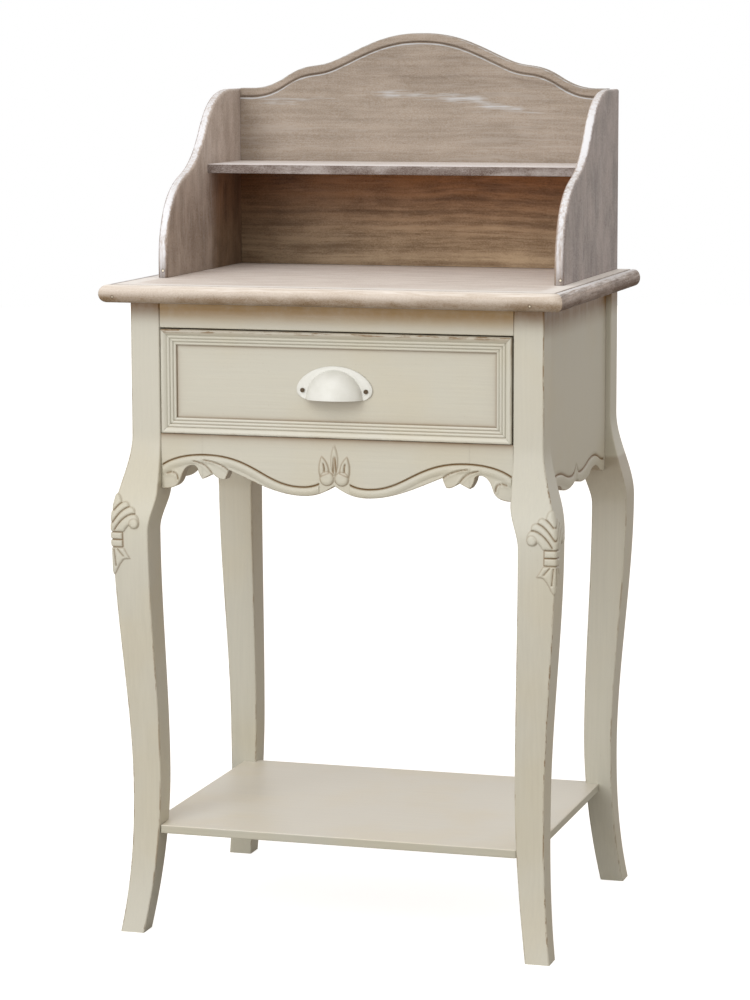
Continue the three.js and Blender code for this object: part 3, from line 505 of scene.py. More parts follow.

# %% [markdown]
# # Limed wood
# The top and the gallery are brown open-grained wood under a thin white wash.
# The wash stays in the pores and in long pale streaks, and the brown shows between them. Grain is cloudy
# noise stretched along the board: broad lines, short fine ones and specks. A slow drift bends the lines. Each
# material turns the grain to run along its own board. Under the gallery shelf the wood has less wash, and it
# is also painted darker there as painted shade, reddest and darkest just under the shelf and darker towards
# the left.
# %% Limed wood group and material
def build_lime_group():
    """Colour = wood darkened along the grain, then whitened: all over by the wash, in streaks by the patches,
    at the arrises by rub, which also carries painted highlights; then waxed by the stain, which also carries
    painted shade."""
    tree, given, result = new_group("limed grain", ["Grain Place"], ["Wood", "Dark Grain", "Lime", "Wax_And_Shade"],
                                    ["Wash", "Patches", "Mottling", "Rub_And_Highlight", "Stain_And_Shade"])
    straight, mottling, rub_and_highlight = given["Grain Place"], given["Mottling"], given["Rub_And_Highlight"]
    drift = noise(straight, 3.5, 2) * 0.025
    shift = node(tree, "CombineXYZ", {1: drift, 2: drift})
    place = node(tree, "VectorMath", {0: straight, 1: shift}, operation="ADD")
    lines = noise(place, 1, 4, 0.55, (3.4, 150, 150))
    fine = noise(place, 1, 4, 0.6, (34, 420, 420))
    speck = noise(place, 1, 3, 0.6, (520, 900, 900))
    mottle = noise(place, 1, 4, 0.65, (14, 32, 32))
    fibre = noise(place, 1, 5, 0.65, (7, 190, 190))
    coarse = mottle * mottling + lines * (1.0 - mottling)
    small = ((fine - 0.5) * (1.2 - mottling) + 0.5) * 0.22 + speck * 0.18
    wood = blend(between(coarse * 0.6 + small, 0.38, 0.62), given["Dark Grain"], given["Wood"])
    washed = given["Wash"] * between(speck, 0.3, 0.7)
    cloud = (noise(place, 1, 2, 0.5, (5, 9, 9)) - 0.5) * 0.8
    broken = (fine - 0.5) * 0.9
    band = between(fibre + broken + cloud, 0.6, 0.72) * given["Patches"]
    edge = between(rub_and_highlight + broken + (fibre - 0.5), 0.2, 0.85) * between(rub_and_highlight, 0.0, 0.12)
    colour = blend(highest(washed, band, edge), wood, given["Lime"])
    thin = between(speck, 0.3, 0.62, 1.0, 0.84) * between(mottle, 0.4, 0.64, 1.0, 0.72)
    link(result, {"Color": blend(given["Stain_And_Shade"] * thin, colour, given["Wax_And_Shade"]),
                  "Roughness": between(fine, 0.3, 0.7, 0.66, 0.5), "Height": lines + fine})
    return tree


lime_group = build_lime_group()


def under_shelf(place):
    """How much painted shade a place gets between the gallery sides: 1 below the shelf and behind its front
    edge, at most 0.45 before it; its height there, 0 to 1; how light it is painted there, darkest on the
    left, also painted shade; and 1 beyond the gallery."""
    x, y, z = node(place.tree, "SeparateXYZ", {0: place}, (0, 1, 2))
    across = x.math("ABSOLUTE")
    in_depth = between(y, 0.015, 0.100) * between(y, 0.180, 0.184, 1.0, 0.0)
    behind = in_depth * between(z, 0.885, 0.893, 1.0, 0.0)
    before = between(z, 0.820, 0.930, 0.45, 0.0) * between(y, 0.150, 0.178, 1.0, 0.0)
    return (between(across, 0.238, 0.240, 1.0, 0.0) * highest(behind, before), between(z, 0.775, 0.890),
            between(x, -0.2, 0.13, 0.6, 1.0), between(across, 0.2435, 0.2465))


def filled_nails(place, colour, nails):
    """Small round pale fillings over sunk nails, each by its distance. The
    places are in case millimetres."""
    for spot in nails:
        spot = to_metres(np.array(spot)).tolist()
        away = node(place.tree, "VectorMath", {0: place, 1: spot}, "Value", operation="DISTANCE")
        colour = blend(between(away, 0.0020, 0.0032, 0.4, 0.0), colour, srgb(70, 52, 36))
        colour = blend(between(away, 0.0009, 0.0015, 1.0, 0.0), colour, srgb(240, 232, 208))
    return colour


def limed(name, wood, dark, lime, wash, patches, turn=(0, 0, 0), wax_and_shade=(92, 72, 52), mottling=0.4,
          unwashed_and_shaded=None, outer=None, nails=()):
    """Limed wood whose grain runs along X before it is turned by turn. The under-shelf colours give wood and
    dark grain for low and for high under the shelf, painted shade with less wash; outer gives the same two
    for the outer faces of the gallery sides."""
    made, tree, shader, place = new_material(name, 0.2)
    grain = node(tree, "Mapping", {"Vector": place, "Rotation": np.radians(turn).tolist()})
    layers = {"Grain Place": grain, "Wood": srgb(*wood), "Dark Grain": srgb(*dark), "Lime": srgb(*lime),
              "Wax_And_Shade": srgb(*wax_and_shade), "Wash": wash, "Patches": patches, "Mottling": mottling, **masks(tree)}
    if unwashed_and_shaded:
        shade, high, pale, beyond = under_shelf(place)
        for i, label in enumerate(("Wood", "Dark Grain")):
            inner = shaded(blend(high, srgb(*unwashed_and_shaded[i][0]), srgb(*unwashed_and_shaded[i][1])), pale)
            layers[label] = blend(shade, layers[label], inner)
            if outer:
                layers[label] = blend(beyond, layers[label], srgb(*outer[i]))
        for label in ("Wash", "Patches"):
            layers[label] = (1.0 - shade * 0.85) * layers[label]
    colour, roughness, height = node(tree, "Group", layers, FINISH, node_tree=lime_group)
    surface(shader, filled_nails(place, colour, nails), roughness, height, 0.25, 0.0003)
    return made


# The darker, redder colours under the shelf are painted shade, with less wash there.
limed_back = limed("limed wood, gallery back", (171, 156, 141), (145, 130, 114), (200, 203, 207), 0.16, 0.14,
                   wax_and_shade=(90, 72, 58), mottling=0.45,
                   unwashed_and_shaded=(((192, 167, 136), (140, 86, 38)), ((128, 103, 76), (88, 50, 17))))
limed_side = limed("limed wood, gallery sides", (203, 189, 179), (166, 150, 137), (238, 240, 246), 0.24, 0.25,
                   (0, 90, 0), wax_and_shade=(96, 78, 64), mottling=0.95, outer=((168, 156, 153), (128, 118, 115)),
                   unwashed_and_shaded=(((172, 146, 118), (158, 112, 76)), ((128, 102, 78), (112, 74, 46))),
                   nails=[(-240.6, -97, 777.5), (243.2, -97, 774.8)])
limed_shelf = limed("limed wood, gallery shelf", (242, 237, 235), (226, 218, 214), (248, 246, 249), 0.5, 0.5,
                    wax_and_shade=(92, 74, 64))
limed_top = limed("limed wood, table top", (244, 236, 230), (214, 202, 194), (253, 250, 248), 0.4, 0.8)
limed_edge = limed("limed wood, rounded edge", (220, 209, 198), (206, 192, 177), (242, 236, 229), 0.25, 0.12,
                   wax_and_shade=(112, 86, 50), nails=[(-258, -217.6, 755.6), (237.5, -217.6, 755)])
limed_edge_side = limed("limed wood, rounded side edge", (208, 193, 184), (112, 93, 80), (238, 238, 242),
                        0.22, 0.3, (0, 0, 90), wax_and_shade=(84, 58, 36), nails=[(273.6, -42, 756.5)])
print("grain inputs:", [socket.name for socket in lime_group.interface.items_tree])

# %% [markdown]
# # Plain wood, enamel and steel
# Inside the case the runners, blocks and drawer boards are plain softwood. The
# cup pull is cast metal under cream enamel, and its screws are dark steel.
# %% Plain finishes
def softwood(name, rings_scale, fine_scale):
    """Pale wood with broad rings and fine grain, each stretched by its scale."""
    made, tree, shader, place = new_material(name, 0.3)
    fine = noise(place, 1, 3, 0.6, fine_scale)
    both = noise(place, 1, 4, 0.55, rings_scale) * 0.6 + fine * 0.4
    wood = blend(between(both, 0.38, 0.64), srgb(188, 152, 104), srgb(221, 194, 150))
    surface(shader, wood, between(fine, 0.3, 0.7, 0.65, 0.8), both, 0.25, 0.0003)
    return made


def metal_finish(name, low, high, metallic, rough, scale):
    """A metal surface whose colour wanders from low to high, with brown dirt where the piece has a stain."""
    made, tree, shader, place = new_material(name)
    cloud = noise(place, scale, 4, 0.6)
    clean = blend(between(cloud, 0.35, 0.65), srgb(*low), srgb(*high))
    shown = blend(masks(tree)["Stain_And_Shade"], clean, srgb(150, 126, 90))
    surface(shader, shown, between(cloud, 0.3, 0.7, *rough), cloud, 0.15, 0.0002)
    shader.inputs["Metallic"].default_value = metallic
    return made


bare_wood = softwood("plain softwood", (60, 5, 60), (500, 22, 500))
bare_wood_across = softwood("plain softwood, crosswise", (5, 60, 60), (22, 500, 500))
enamel = metal_finish("cream enamel", (221, 222, 216), (226, 227, 222), 0.0, (0.36, 0.44), 60)
dark_steel = metal_finish("darkened steel", (58, 46, 32), (92, 78, 60), 0.7, (0.4, 0.6), 900)
print("plain finishes:", bare_wood.name, "/", enamel.name, "/", dark_steel.name)

# %% [markdown]
# # The legs
# A cabriole leg is sawn from a square post along an S-curve on two faces, then
# its arrises are eased. Here the section is a rectangle with round corners,
# and two S-curves say how far each face stands out at every height.
# %% Leg shape
ANKLE, KNEE, SHOULDER = 170.0, APRON_TOP - 107.0, APRON_TOP - 2.2
WAIST, HOCK, EAR = 190.0, APRON_TOP - 115.0, APRON_TOP - 65.0
FOOT_SIZE, SPLAY_SIDE, SPLAY_FRONT, LEG_ARRIS = 29.2, 14.7, 21.0, 1.9


def s_curve(z, foot, low, turn, power, bulge, crest, end):
    """How far a face is beyond the post: low + (foot - low) d^power below
    the height turn, d being the share of the way down; then an S-step up to
    bulge at crest, and an S-step back to 0 at end."""
    lower = low + (foot - low) * np.clip((turn - z) / turn, 0, 1)**power
    middle = low + (bulge - low) * ease((z - turn) / (crest - turn))
    upper = bulge * (1 - ease((z - crest) / (end - crest)))
    return np.select([z < turn, z < crest], [lower, middle], upper)


def leg_faces(z, splay):
    """Inner and outer face of a leg beyond its post at each height."""
    return (s_curve(z, splay + POST - FOOT_SIZE, 3.8, WAIST, 1.9, 10.4, HOCK, EAR),
            s_curve(z, splay, 3.2, ANKLE, 2.3, 19.1, KNEE, SHOULDER))


def section_ring(outer_steps, inner_steps=6, corner_steps=4):
    """Points round a unit rectangle with round corners. Each has its share
    across and along the straight part, and the direction of its rounding."""
    parts = []
    bend = np.linspace(0, math.pi / 2, corner_steps + 2)[1:-1]
    for turn, steps in enumerate((outer_steps, outer_steps, inner_steps, inner_steps)):
        run = np.linspace(0, 1, steps + 1)
        piece = np.vstack([together(1, run, 1, 0), together(1, 1, np.cos(bend), np.sin(bend))])
        for _ in range(turn):
            piece = np.column_stack([1 - piece[:, 1], piece[:, 0], -piece[:, 3], piece[:, 2]])
        parts.append(piece)
    return np.vstack(parts).T


print("face at the knee stands out", float(leg_faces(np.array(KNEE), SPLAY_SIDE)[1]), "mm")

# %% [markdown]
# # The knee carving
# Each front knee has a shell of four lobes that fans out from the corner and
# ends in a round scroll, two bands that bind its stem, and a pointed leaf
# below. It is the same on both outer faces. It is drawn as outlines and cuts
# in two numbers: how far a place is from the corner, and its height.
# %% Knee carving
SHELL = drawn((-1, 525.5), [(6, 524), (9, 514.4)], [(16, 518.5), (19.5, 510)],
              [(27, 510), (28, 501.4)], [(33.4, 498), (33.6, 491)], [(33.4, 484.6), (27.4, 484.4)],
              [(22.6, 484.6), (21.4, 488.2)], [(18, 486), (14.6, 480.3)], [(6, 480.3), (-1, 480.3)], steps=10)
SHELL_CUTS = [
    drawn((28.2, 501.6), [(20, 502.5), (11.5, 493.3)], [(7, 488.4), (3.6, 482.6)], steps=12),
    drawn((19.8, 510.2), [(12, 507.5), (6, 498.4)], [(3, 494), (0.8, 490.5)], steps=12),
    drawn((9.2, 514.8), [(5, 511.5), (1.4, 505.5)], steps=10)]
BANDS = np.array([[-1, 479.9], [13.2, 479.7], [13.2, 462.4], [-1, 462.2]])
BAND_CUTS = [np.array([[-1, 471.2], [13.2, 471.0]])]
LEAF = drawn((-1, 461.4), [(7, 461.4), (14.4, 461)], [(16.6, 455.5), (21.4, 448.8)],
             [(17, 448.6), (13.4, 447.8)], [(8, 442), (4.4, 434.6)], [(2, 430), (-1, 427.5)], steps=8)
LEAF_CUTS = [np.array([[6.4, 459.6], [13.2, 451.4]]), np.array([[2.0, 459.0], [3.4, 440.0]])]


def knee_relief(spots):
    """The carved forms at each (from corner, height): the highest of them
    plus the deepest cut, and the darkest stain."""
    forms = np.array([carve(spots, SHELL, SHELL_CUTS, 2.4, 3.6, 0.8, 0.22),
                      carve(spots, ring((27.4, 490.4), 5.9), (), 3.2, 3.0, 0, 0.35),
                      carve(spots, BANDS, BAND_CUTS, 2.1, 2.8, 1.0, 0.8),
                      carve(spots, LEAF, LEAF_CUTS, 1.9, 3.4, 0.6, 0.4)])
    return forms[:, 0].max(0) + forms[:, 0].min(0), forms[:, 1].max(0)


def leg_painted_shade(level, round_x, rear):
    """Painted shade in brown: high up under the top, most on the outer side; a thin film on the outer side;
    more on the inner side just under the case, fading downwards, most on the rear legs, which have it on
    every side; and on the front legs a thin film. Both thin films are left off at the knees, which makes a
    painted highlight there."""
    outer, inner, drop = np.clip(round_x, 0, 1), np.clip(-round_x, 0, 1), CASE_TOP - level
    below = APRON_TOP - 62 - level
    under, bare = np.maximum(below, 0), below > -6
    high = np.minimum(1.15 * bell(drop, 17), 1) * (1 - outer) + (1 - ease((drop - 8) / 34)) * outer
    knee_painted_highlight = bell(level - 505, 42)
    side = 0.08 * outer * ease(level / 60) * (1 - knee_painted_highlight)
    share = 1.0 if rear else 0.1
    inner_painted_shade = inner * bare * (share * (0.06 + 0.42 * np.exp(-under / 160)) + 0.3 * np.exp(-under / 9))
    film_painted_shade = 0.38 * np.exp(-under / 60) * bare if rear else 0.07 * (1 - knee_painted_highlight)
    return np.maximum(np.maximum(high, side), np.maximum(inner_painted_shade, film_painted_shade))


def cabriole_leg(name, side_x, side_y, carved):
    """Grid of heights by points round the section: each point is a corner of
    the inner rectangle plus the corner radius along its rounding."""
    z = np.linspace(0, CASE_TOP - GAP, 180)
    if carved:
        z = np.concatenate([np.linspace(0, 420, 100, False), np.arange(420, 530, 0.8),
                            np.linspace(531, CASE_TOP - GAP, 44)])
    level = z[:, None]
    share_x, share_y, round_x, round_y = section_ring(56 if carved else 8)

    def across(inner, outer, faces, share, rounding):
        start, end = inner + faces[0] + LEG_ARRIS, outer + faces[1] - LEG_ARRIS
        return start + (end - start) * share + LEG_ARRIS * rounding, outer + faces[1]

    x, far_x = across(POST_IN_X, HALF_WIDTH, leg_faces(level, SPLAY_SIDE), share_x, round_x)
    y, far_y = across(POST_IN_Y, HALF_DEPTH, leg_faces(level, SPLAY_FRONT), share_y, round_y)
    relief, stain_and_shade = 0.0, 0.0
    if carved:
        spots = together(np.maximum(far_x - x, far_y - y), level).reshape(-1, 2)
        relief, stain_and_shade = (values.reshape(x.shape) for values in knee_relief(spots))
    outermost = (round_x > 0) & (round_y > 0)
    arris = (np.abs(round_x * round_y) > 0.05) * np.where(outermost, 0.75, 0.5)
    free = np.where(outermost, 1.0, level < APRON_TOP - 70)
    rub_and_highlight = arris * free * (1 - ease((62 - np.abs(level - 475)) / 12) * carved)
    grid = together(side_x * (x + relief * round_x), side_y * (y + relief * round_y), level)
    return make_piece(name, grid, np.maximum(stain_and_shade, leg_painted_shade(level, round_x, not carved)), rub_and_highlight)


for end, side_y in (("front", -1), ("rear", 1)):
    for side, side_x in SIDES:
        leg = cabriole_leg(f"{end}_{side}_leg_shown", side_x, side_y, side_y < 0)
        stands_for(leg, "case", cream_upright, "cream_paint", f"leg_{end}_{side}")

# %% [markdown]
# # Boards with a scrolled edge
# The apron, the side panels and the gallery back are flat boards with one
# sawn edge and a line carved along it. Such a board is a grid whose columns
# start on the sawn edge and run straight to the level edge. The rows close up
# at the arris and at the carved line, so both stay crisp. A relief gives the
# height, stain and rub at places (along, up) on the face.
# %% Boards
def around_edge(radius, thickness, steps):
    """Round both arrises of an edge, from the back face to the front, in
    quarter circles: how far in, how far out, and the angle."""
    turn = np.linspace(0, math.pi / 2, steps)
    inset, out = radius * (1 - np.sin(turn)), radius * (1 - np.cos(turn))
    return [np.concatenate(pair) for pair in ((inset, inset[::-1]), (out - thickness, -out[::-1]),
                                              (turn, turn[::-1]))]


def on_face(relief, face):
    """Height, stain and rub of a relief at each point of a grid."""
    values = relief(face.reshape(-1, 2))
    return [np.broadcast_to(value, face[..., 0].size).reshape(face.shape[:2]) for value in values]


def scrolled_board(name, edge, line, level, thickness, place, relief, near, far, radius, crowd,
                   edge_painted_shade, edge_rub=0.9):
    """Columns follow edge. Their rows go from the back face round the eased
    arris onto the front, in near steps to the carved line and in far steps
    on to the level edge; place turns (along, up, out) into points."""
    side = 1 if level > edge[:, 1].mean() else -1
    step = np.gradient(edge, axis=0)
    step /= np.maximum(np.hypot(*step.T), 1e-9)[:, None]
    normal = np.column_stack([step[:, 1], -step[:, 0]]) * side
    inset, out, turn = around_edge(radius, thickness, 5)
    eased = edge[:, None] - inset[:, None] * normal[:, None]
    along, start = eased[:, -1, :1], eased[:, -1, 1:]
    mark = np.interp(along, *line.T)
    mark = np.where((mark - start) * side < 0.5, start + 0.5 * side, mark)
    to_line = (1 - np.cos(np.linspace(0, math.pi, near + 1)[1:])) / 2
    to_level = np.linspace(0, 1, far + 1)[1:]**crowd
    face = together(along, np.hstack([start + to_line * (mark - start), mark + to_level * (level - mark)]))
    height, stain_and_shade, rub_and_highlight = on_face(relief, face)

    def rows(*parts):
        return np.hstack([np.broadcast_to(part, (len(edge), np.shape(part)[-1])) for part in parts])

    flat = np.hstack([eased, face, together(along, level)])
    grid = place(flat[..., 0], flat[..., 1], rows(out, height, [-thickness]))
    # The sawn edge face is browned by the edge share: painted shade on the edge.
    return make_piece(name, grid, rows(edge_painted_shade * np.sin(turn)**3, stain_and_shade, [0]),
                      rows(edge_rub * np.sin(2 * turn), rub_and_highlight, [0]))


def plain_board(name, along, up, thickness, place, relief, radius=0.8):
    """A rectangular board: columns at the values of along, rows at the values
    of up, with both long arrises eased by a quarter circle."""
    turn = np.linspace(0, math.pi / 2, 4)
    step, sunk = radius * (1 - np.cos(turn)), radius * (np.sin(turn) - 1)
    rows = np.concatenate([up[:1], up[0] + step, up[1:-1], up[-1] - step[::-1], up[-1:]])
    out = np.concatenate([[-thickness], sunk, np.zeros(len(up) - 2), sunk[::-1], [-thickness]])
    flat = together(along[:, None], rows)
    height, stain_and_shade, rub_and_highlight = on_face(relief, flat)
    grid = place(flat[..., 0], flat[..., 1], out + height * (out > -thickness))
    return make_piece(name, grid, stain_and_shade, rub_and_highlight)


def line_relief(spots, line, edge_side, depth, breadth, band, band_width=10.0):
    """A V-shaped line, and beyond it towards the edge a rounded band. The
    distance to the line is the height above it times the cosine of its
    slope."""
    along, up = spots.T
    slope = np.gradient(line[:, 1], line[:, 0])
    offset = (up - np.interp(along, *line.T)) * edge_side
    offset /= np.hypot(1, np.interp(along, line[:, 0], slope))
    within = (along > line[0, 0]) & (along < line[-1, 0])
    swell = band * np.sin(math.pi * np.clip(offset / band_width, 0, 1))**0.7
    height = swell - depth * np.clip(1 - np.abs(offset) / breadth, 0, 1)
    return within * height, within * bell(offset, 0.95)


def face_front(face_y):
    """Places a board in a plane that faces the front."""
    return lambda along, up, out: together(along, face_y - out, up)


def face_side(face_x, side_x):
    """Places a board in a plane that faces one side."""
    return lambda along, up, out: together(side_x * (face_x + out), along, up)


print("an edge of 2 mm radius takes", len(around_edge(2, 18, 5)[0]), "rows")

# %% [markdown]
# # The front apron
# The apron hangs below the drawer. Its sawn edge dips twice, rises to a pair
# of overlapping leaves and a notch, and ends in a lobe at each post. A V-line
# runs above it. In the middle two round scroll ends carry three flames.
# %% Front apron
APRON_HALF, APRON_FACE = POST_IN_X - GAP, -HALF_DEPTH + 1.2
SCROLL = np.array([0, APRON_TOP - 46.1])

APRON_EDGE = below_drawer(
    APRON_HALF, (0, 54.7), [(0.05, 61.6), (0.1, 67.6), (0.18, 67.6)],
    [(0.33, 67.6), (0.46, 53.6), (0.608, 40.6)], [(0.615, 46.3), (0.63, 51.7)],
    [(0.66, 53.5), (0.7, 45.8)], [(0.762, 52.3)], [(0.785, 46.3), (0.79, 39.8)],
    [(0.8, 36.4), (0.824, 36.4)], [(0.865, 37.4), (0.885, 50.3)], [(0.9, 61.9), (0.935, 64.9), (1, 64.9)])
APRON_LINE = below_drawer(APRON_HALF, (0.088, 52.8), [(0.13, 57.2), (0.19, 57.2)],
                          [(0.4, 57.2), (0.46, 23.8), (0.74, 23.8)], [(0.9, 23.8), (0.995, 37)])
LEAF_LINES = [
    below_drawer(APRON_HALF, (0.608, 41.5), [(0.66, 31.5), (0.75, 30.0)]),
    below_drawer(APRON_HALF, (0.702, 46.5), [(0.735, 33.5), (0.81, 31.5)]),
    below_drawer(APRON_HALF, (0.905, 53.5), [(0.905, 46.5), (0.93, 45.6)], [(0.95, 44.6), (0.968, 46.5)])]
SIDE_FLAME = SCROLL + drawn((6.5, 6.5), [(6.5, 18), (15.2, 25.6)], [(20.5, 14), (17.2, 2)], steps=14)
SIDE_FLAME_CUT = SCROLL + drawn((12.2, 8), [(11.6, 13), (13.2, 17)])
half_flame = drawn((0, 1), [(8.6, 20), (0, 40.1)], steps=16)
TALL_FLAME = SCROLL + np.vstack([half_flame, half_flame[-2:0:-1] * [-1, 1]])
TALL_FLAME_CUTS = [SCROLL + [[-1.6, 6.5], [-0.6, 24]], SCROLL + [[2.6, 6.5], [0.8, 25]]]


def apron_relief(spots):
    """The V-line and its band on both halves, the leaf lines, and the carved
    middle, each added where it lies."""
    half = np.abs(spots)
    height, stain_and_shade = line_relief(half, APRON_LINE, -1, 1.8, 1.5, 1.5)
    veins = distance(half, LEAF_LINES)
    height -= 1.2 * np.clip(1 - veins / 1.2, 0, 1)
    height += 0.5 * np.clip(1 - np.abs(veins - 2.2) / 2.0, 0, 1)
    forms = np.array([carve(half, ring(SCROLL + [9.0, 0], 8.2), (), 2.4, 4.5, 0, 0.5),
                      carve(half, SIDE_FLAME, [SIDE_FLAME_CUT], 1.6, 2.6, 0.9, 0.6),
                      carve(spots, TALL_FLAME, TALL_FLAME_CUTS, 1.5, 3.0, 1.0, 0.35)])
    # Painted shade under the drawer's proud front: brown just below the apron's top edge, fading downwards
    # within a few millimetres.
    wax_and_shade = 0.9 * np.exp((spots[:, 1] - APRON_TOP) / 4.5)
    stain_and_shade = np.max([stain_and_shade, 0.75 * bell(veins, 0.8), wax_and_shade, *forms[:, 1]], axis=0)
    return height + forms[:, 0].max(0), stain_and_shade, 0


apron = scrolled_board("apron_shown", even(mirrored(APRON_EDGE), 0.95), mirrored(APRON_LINE), APRON_TOP, 18,
                       face_front(APRON_FACE), apron_relief, 26, 56, 1.2, 1.25, 0.45)
stands_for(apron, "case", cream_across, "cream_paint", "front_apron")

# %% [markdown]
# # The rail above the drawer
# The rail is a plain strip. Under the overhanging top its paint is browned as painted shade, so it is brown
# above and clean below.
# %% Rail above the drawer
def rail_relief(spots):
    """Painted shade under the top: thick for 6 mm and fading over 24 mm more, over a faint film all the way
    down.
    """
    up = spots[:, 1]
    return 0, 0.96 * (1 - ease((CASE_TOP - up - 6) / 24)) + 0.04, 0.25 * bell(up - OPENING_TOP, 0.8)


rail = plain_board("front_rail_shown", np.linspace(-APRON_HALF, APRON_HALF, 40),
                   np.linspace(OPENING_TOP, CASE_TOP - GAP, 22), 20, face_front(APRON_FACE), rail_relief)
stands_for(rail, "case", cream_rail, "cream_paint", "front_top_rail")

# %% [markdown]
# # The side panels
# The side panels have a shallower scrolled edge, with a carved line that
# rises to a point in the middle.
# %% Side panels
PANEL_HALF, PANEL_FACE = POST_IN_Y - GAP, HALF_WIDTH - 6.5
PANEL_EDGE = below_drawer(PANEL_HALF, (0, 63.6), [(0.05, 63.6), (0.08, 65.6)], [(0.14, 69.2), (0.25, 69.2)],
                          [(0.4, 69.2), (0.47, 64.2)], [(0.54, 58.6), (0.63, 58.6)],
                          [(0.74, 58.6), (0.82, 66.7)], [(0.9, 70.7), (1, 70.7)])
PANEL_LINE = below_drawer(PANEL_HALF, (0.012, 44.2), [(0.05, 56.2), (0.14, 56.2)],
                          [(0.32, 56.2), (0.4, 45.6), (0.6, 45.6)],
                          [(0.76, 45.6), (0.82, 56.2), (0.96, 56.2)])


def panel_relief(spots):
    """The carved line, and painted shade: brown under the top, a thin film over the whole panel, and darker
    beside the posts.
    """
    half = np.abs(spots)
    height, stain_and_shade = line_relief(half, PANEL_LINE, -1, 1.6, 1.5, 0.8, 12)
    drop = CASE_TOP - spots[:, 1]
    wax_and_shade = 1 - 0.92 * ease((drop - 8) / 36) + 0.1 * np.exp(-drop / 60)
    wax_and_shade += 0.3 * np.exp((half[:, 0] - PANEL_HALF) / 1.5)
    return height, np.maximum(stain_and_shade, np.minimum(wax_and_shade, 1)), 0


for side, side_x in SIDES:
    panel = scrolled_board(f"{side}_panel_shown", even(mirrored(PANEL_EDGE), 1.2), mirrored(PANEL_LINE),
                           CASE_TOP - GAP, 12, face_side(PANEL_FACE, side_x), panel_relief, 20, 64,
                           1.2, 1.0, 0.6)
    stands_for(panel, "case", cream_upright, "cream_paint", f"side_panel_{side}")

# %% [markdown]
# # The gallery back
# The arched back stands between the gallery sides. Its edge is the same kind
# of scroll, turned upwards, with a line routed 10.5 mm below it. A streak of
# lime and a brown one run across the board. Each is a list of (along, height,
# how strong).
# %% Gallery back
ARCH_RISE, ARCH_FOOT = 67.4, TOP_HEIGHT + GALLERY_HEIGHT + 0.7
ARCH = drawn((0, 1), [(0.17, 1), (0.27, 0.83), (0.4, 0.62)], [(0.47, 0.51), (0.5, 0.45), (0.58, 0.415)],
             [(0.64, 0.39), (0.68, 0.35), (0.74, 0.22)], [(0.8, 0.09), (0.85, 0.01), (0.93, 0)], [(1, 0)])
ARCH = ARCH * [GALLERY_INNER - GAP, ARCH_RISE] + [0, ARCH_FOOT]
ARCH_LINE = ARCH - [0, 10.5]
PALE_STREAK = np.array([(-225, 973.5, 0.3), (-190, 973, 0.7), (-160, 973.5, 0.5), (-117, 976, 0.55),
                        (-75, 979, 0.5), (-39, 980, 0.85), (0, 981, 0.75), (40, 977, 0.8), (75, 973, 1.0),
                        (105, 966.5, 0.8), (135, 961, 0.5), (165, 956, 0.15), (200, 952, 0.0)])
BROWN_STREAK = np.array([(-125, 996, 0.0), (-88, 1005, 0.25), (-52, 1003, 0.1), (-26, 1003, 0.45),
                         (12, 1001, 0.3), (57, 1004, 0.5), (90, 1003, 0.35), (120, 1001, 0.55),
                         (158, 994, 0.4), (189, 988, 0.45), (215, 984, 0.1), (235, 982, 0.0)])


def streak(spots, line, narrow, wide):
    """strong * bell(distance to the line, narrow + wide * strong)."""
    level, strong = (np.interp(spots[:, 0], line[:, 0], line[:, i]) for i in (1, 2))
    return strong * bell(spots[:, 1] - level, narrow + wide * strong)


def arch_relief(spots):
    """The routed line: wax in it and a white painted highlight under it, on the side of the line that faces
    up. Above, a film of wax grows over 34 mm, and the streaks cross the board."""
    half = np.abs(spots)
    height, _ = line_relief(half, ARCH_LINE, 1, 2.2, 1.9, 0.5)
    below = np.interp(half[:, 0], *ARCH_LINE.T) - half[:, 1]
    film = 0.16 * ease((half[:, 1] - 972) / 34) * (below > 0)
    wax_and_shade = np.max([0.8 * bell(below - 0.1, 0.9), film, streak(spots, BROWN_STREAK, 0.8, 2.6)], axis=0)
    return height, wax_and_shade, np.maximum(0.85 * bell(below - 2.2, 0.9), 0.62 * streak(spots, PALE_STREAK, 4, 5))


gallery_back = scrolled_board("gallery_back_shown", even(mirrored(ARCH), 1.6), mirrored(ARCH_LINE),
                              TOP_HEIGHT + GAP, BACK_BOARD, face_front(BACK_FACE), arch_relief, 26, 80,
                              1.8, 2.0, 0.05, 0.6)
stands_for(gallery_back, "case", limed_back, "limed_wood", "gallery_back")

# %% [markdown]
# # Boards with a closed outline
# The gallery sides show both faces. Their outline is a closed curve, and the
# arris is eased by rings that step inwards. At a corner the step has to be
# longer, so that both edges move by the same amount: it is the sum of their
# normals over one plus the cosine between them.
# %% Eased board and gallery sides
def mitre_steps(outline):
    """Outward step at each corner that moves both its edges out by one."""
    after = np.roll(outline, -1, 0) - outline
    length = np.maximum(np.hypot(*after.T), 1e-9)[:, None]
    normal = np.column_stack([after[:, 1], -after[:, 0]]) / length
    before = np.roll(normal, 1, 0)
    cosine = (before * normal).sum(1)
    return (before + normal) / np.maximum(1 + cosine, 0.35)[:, None]


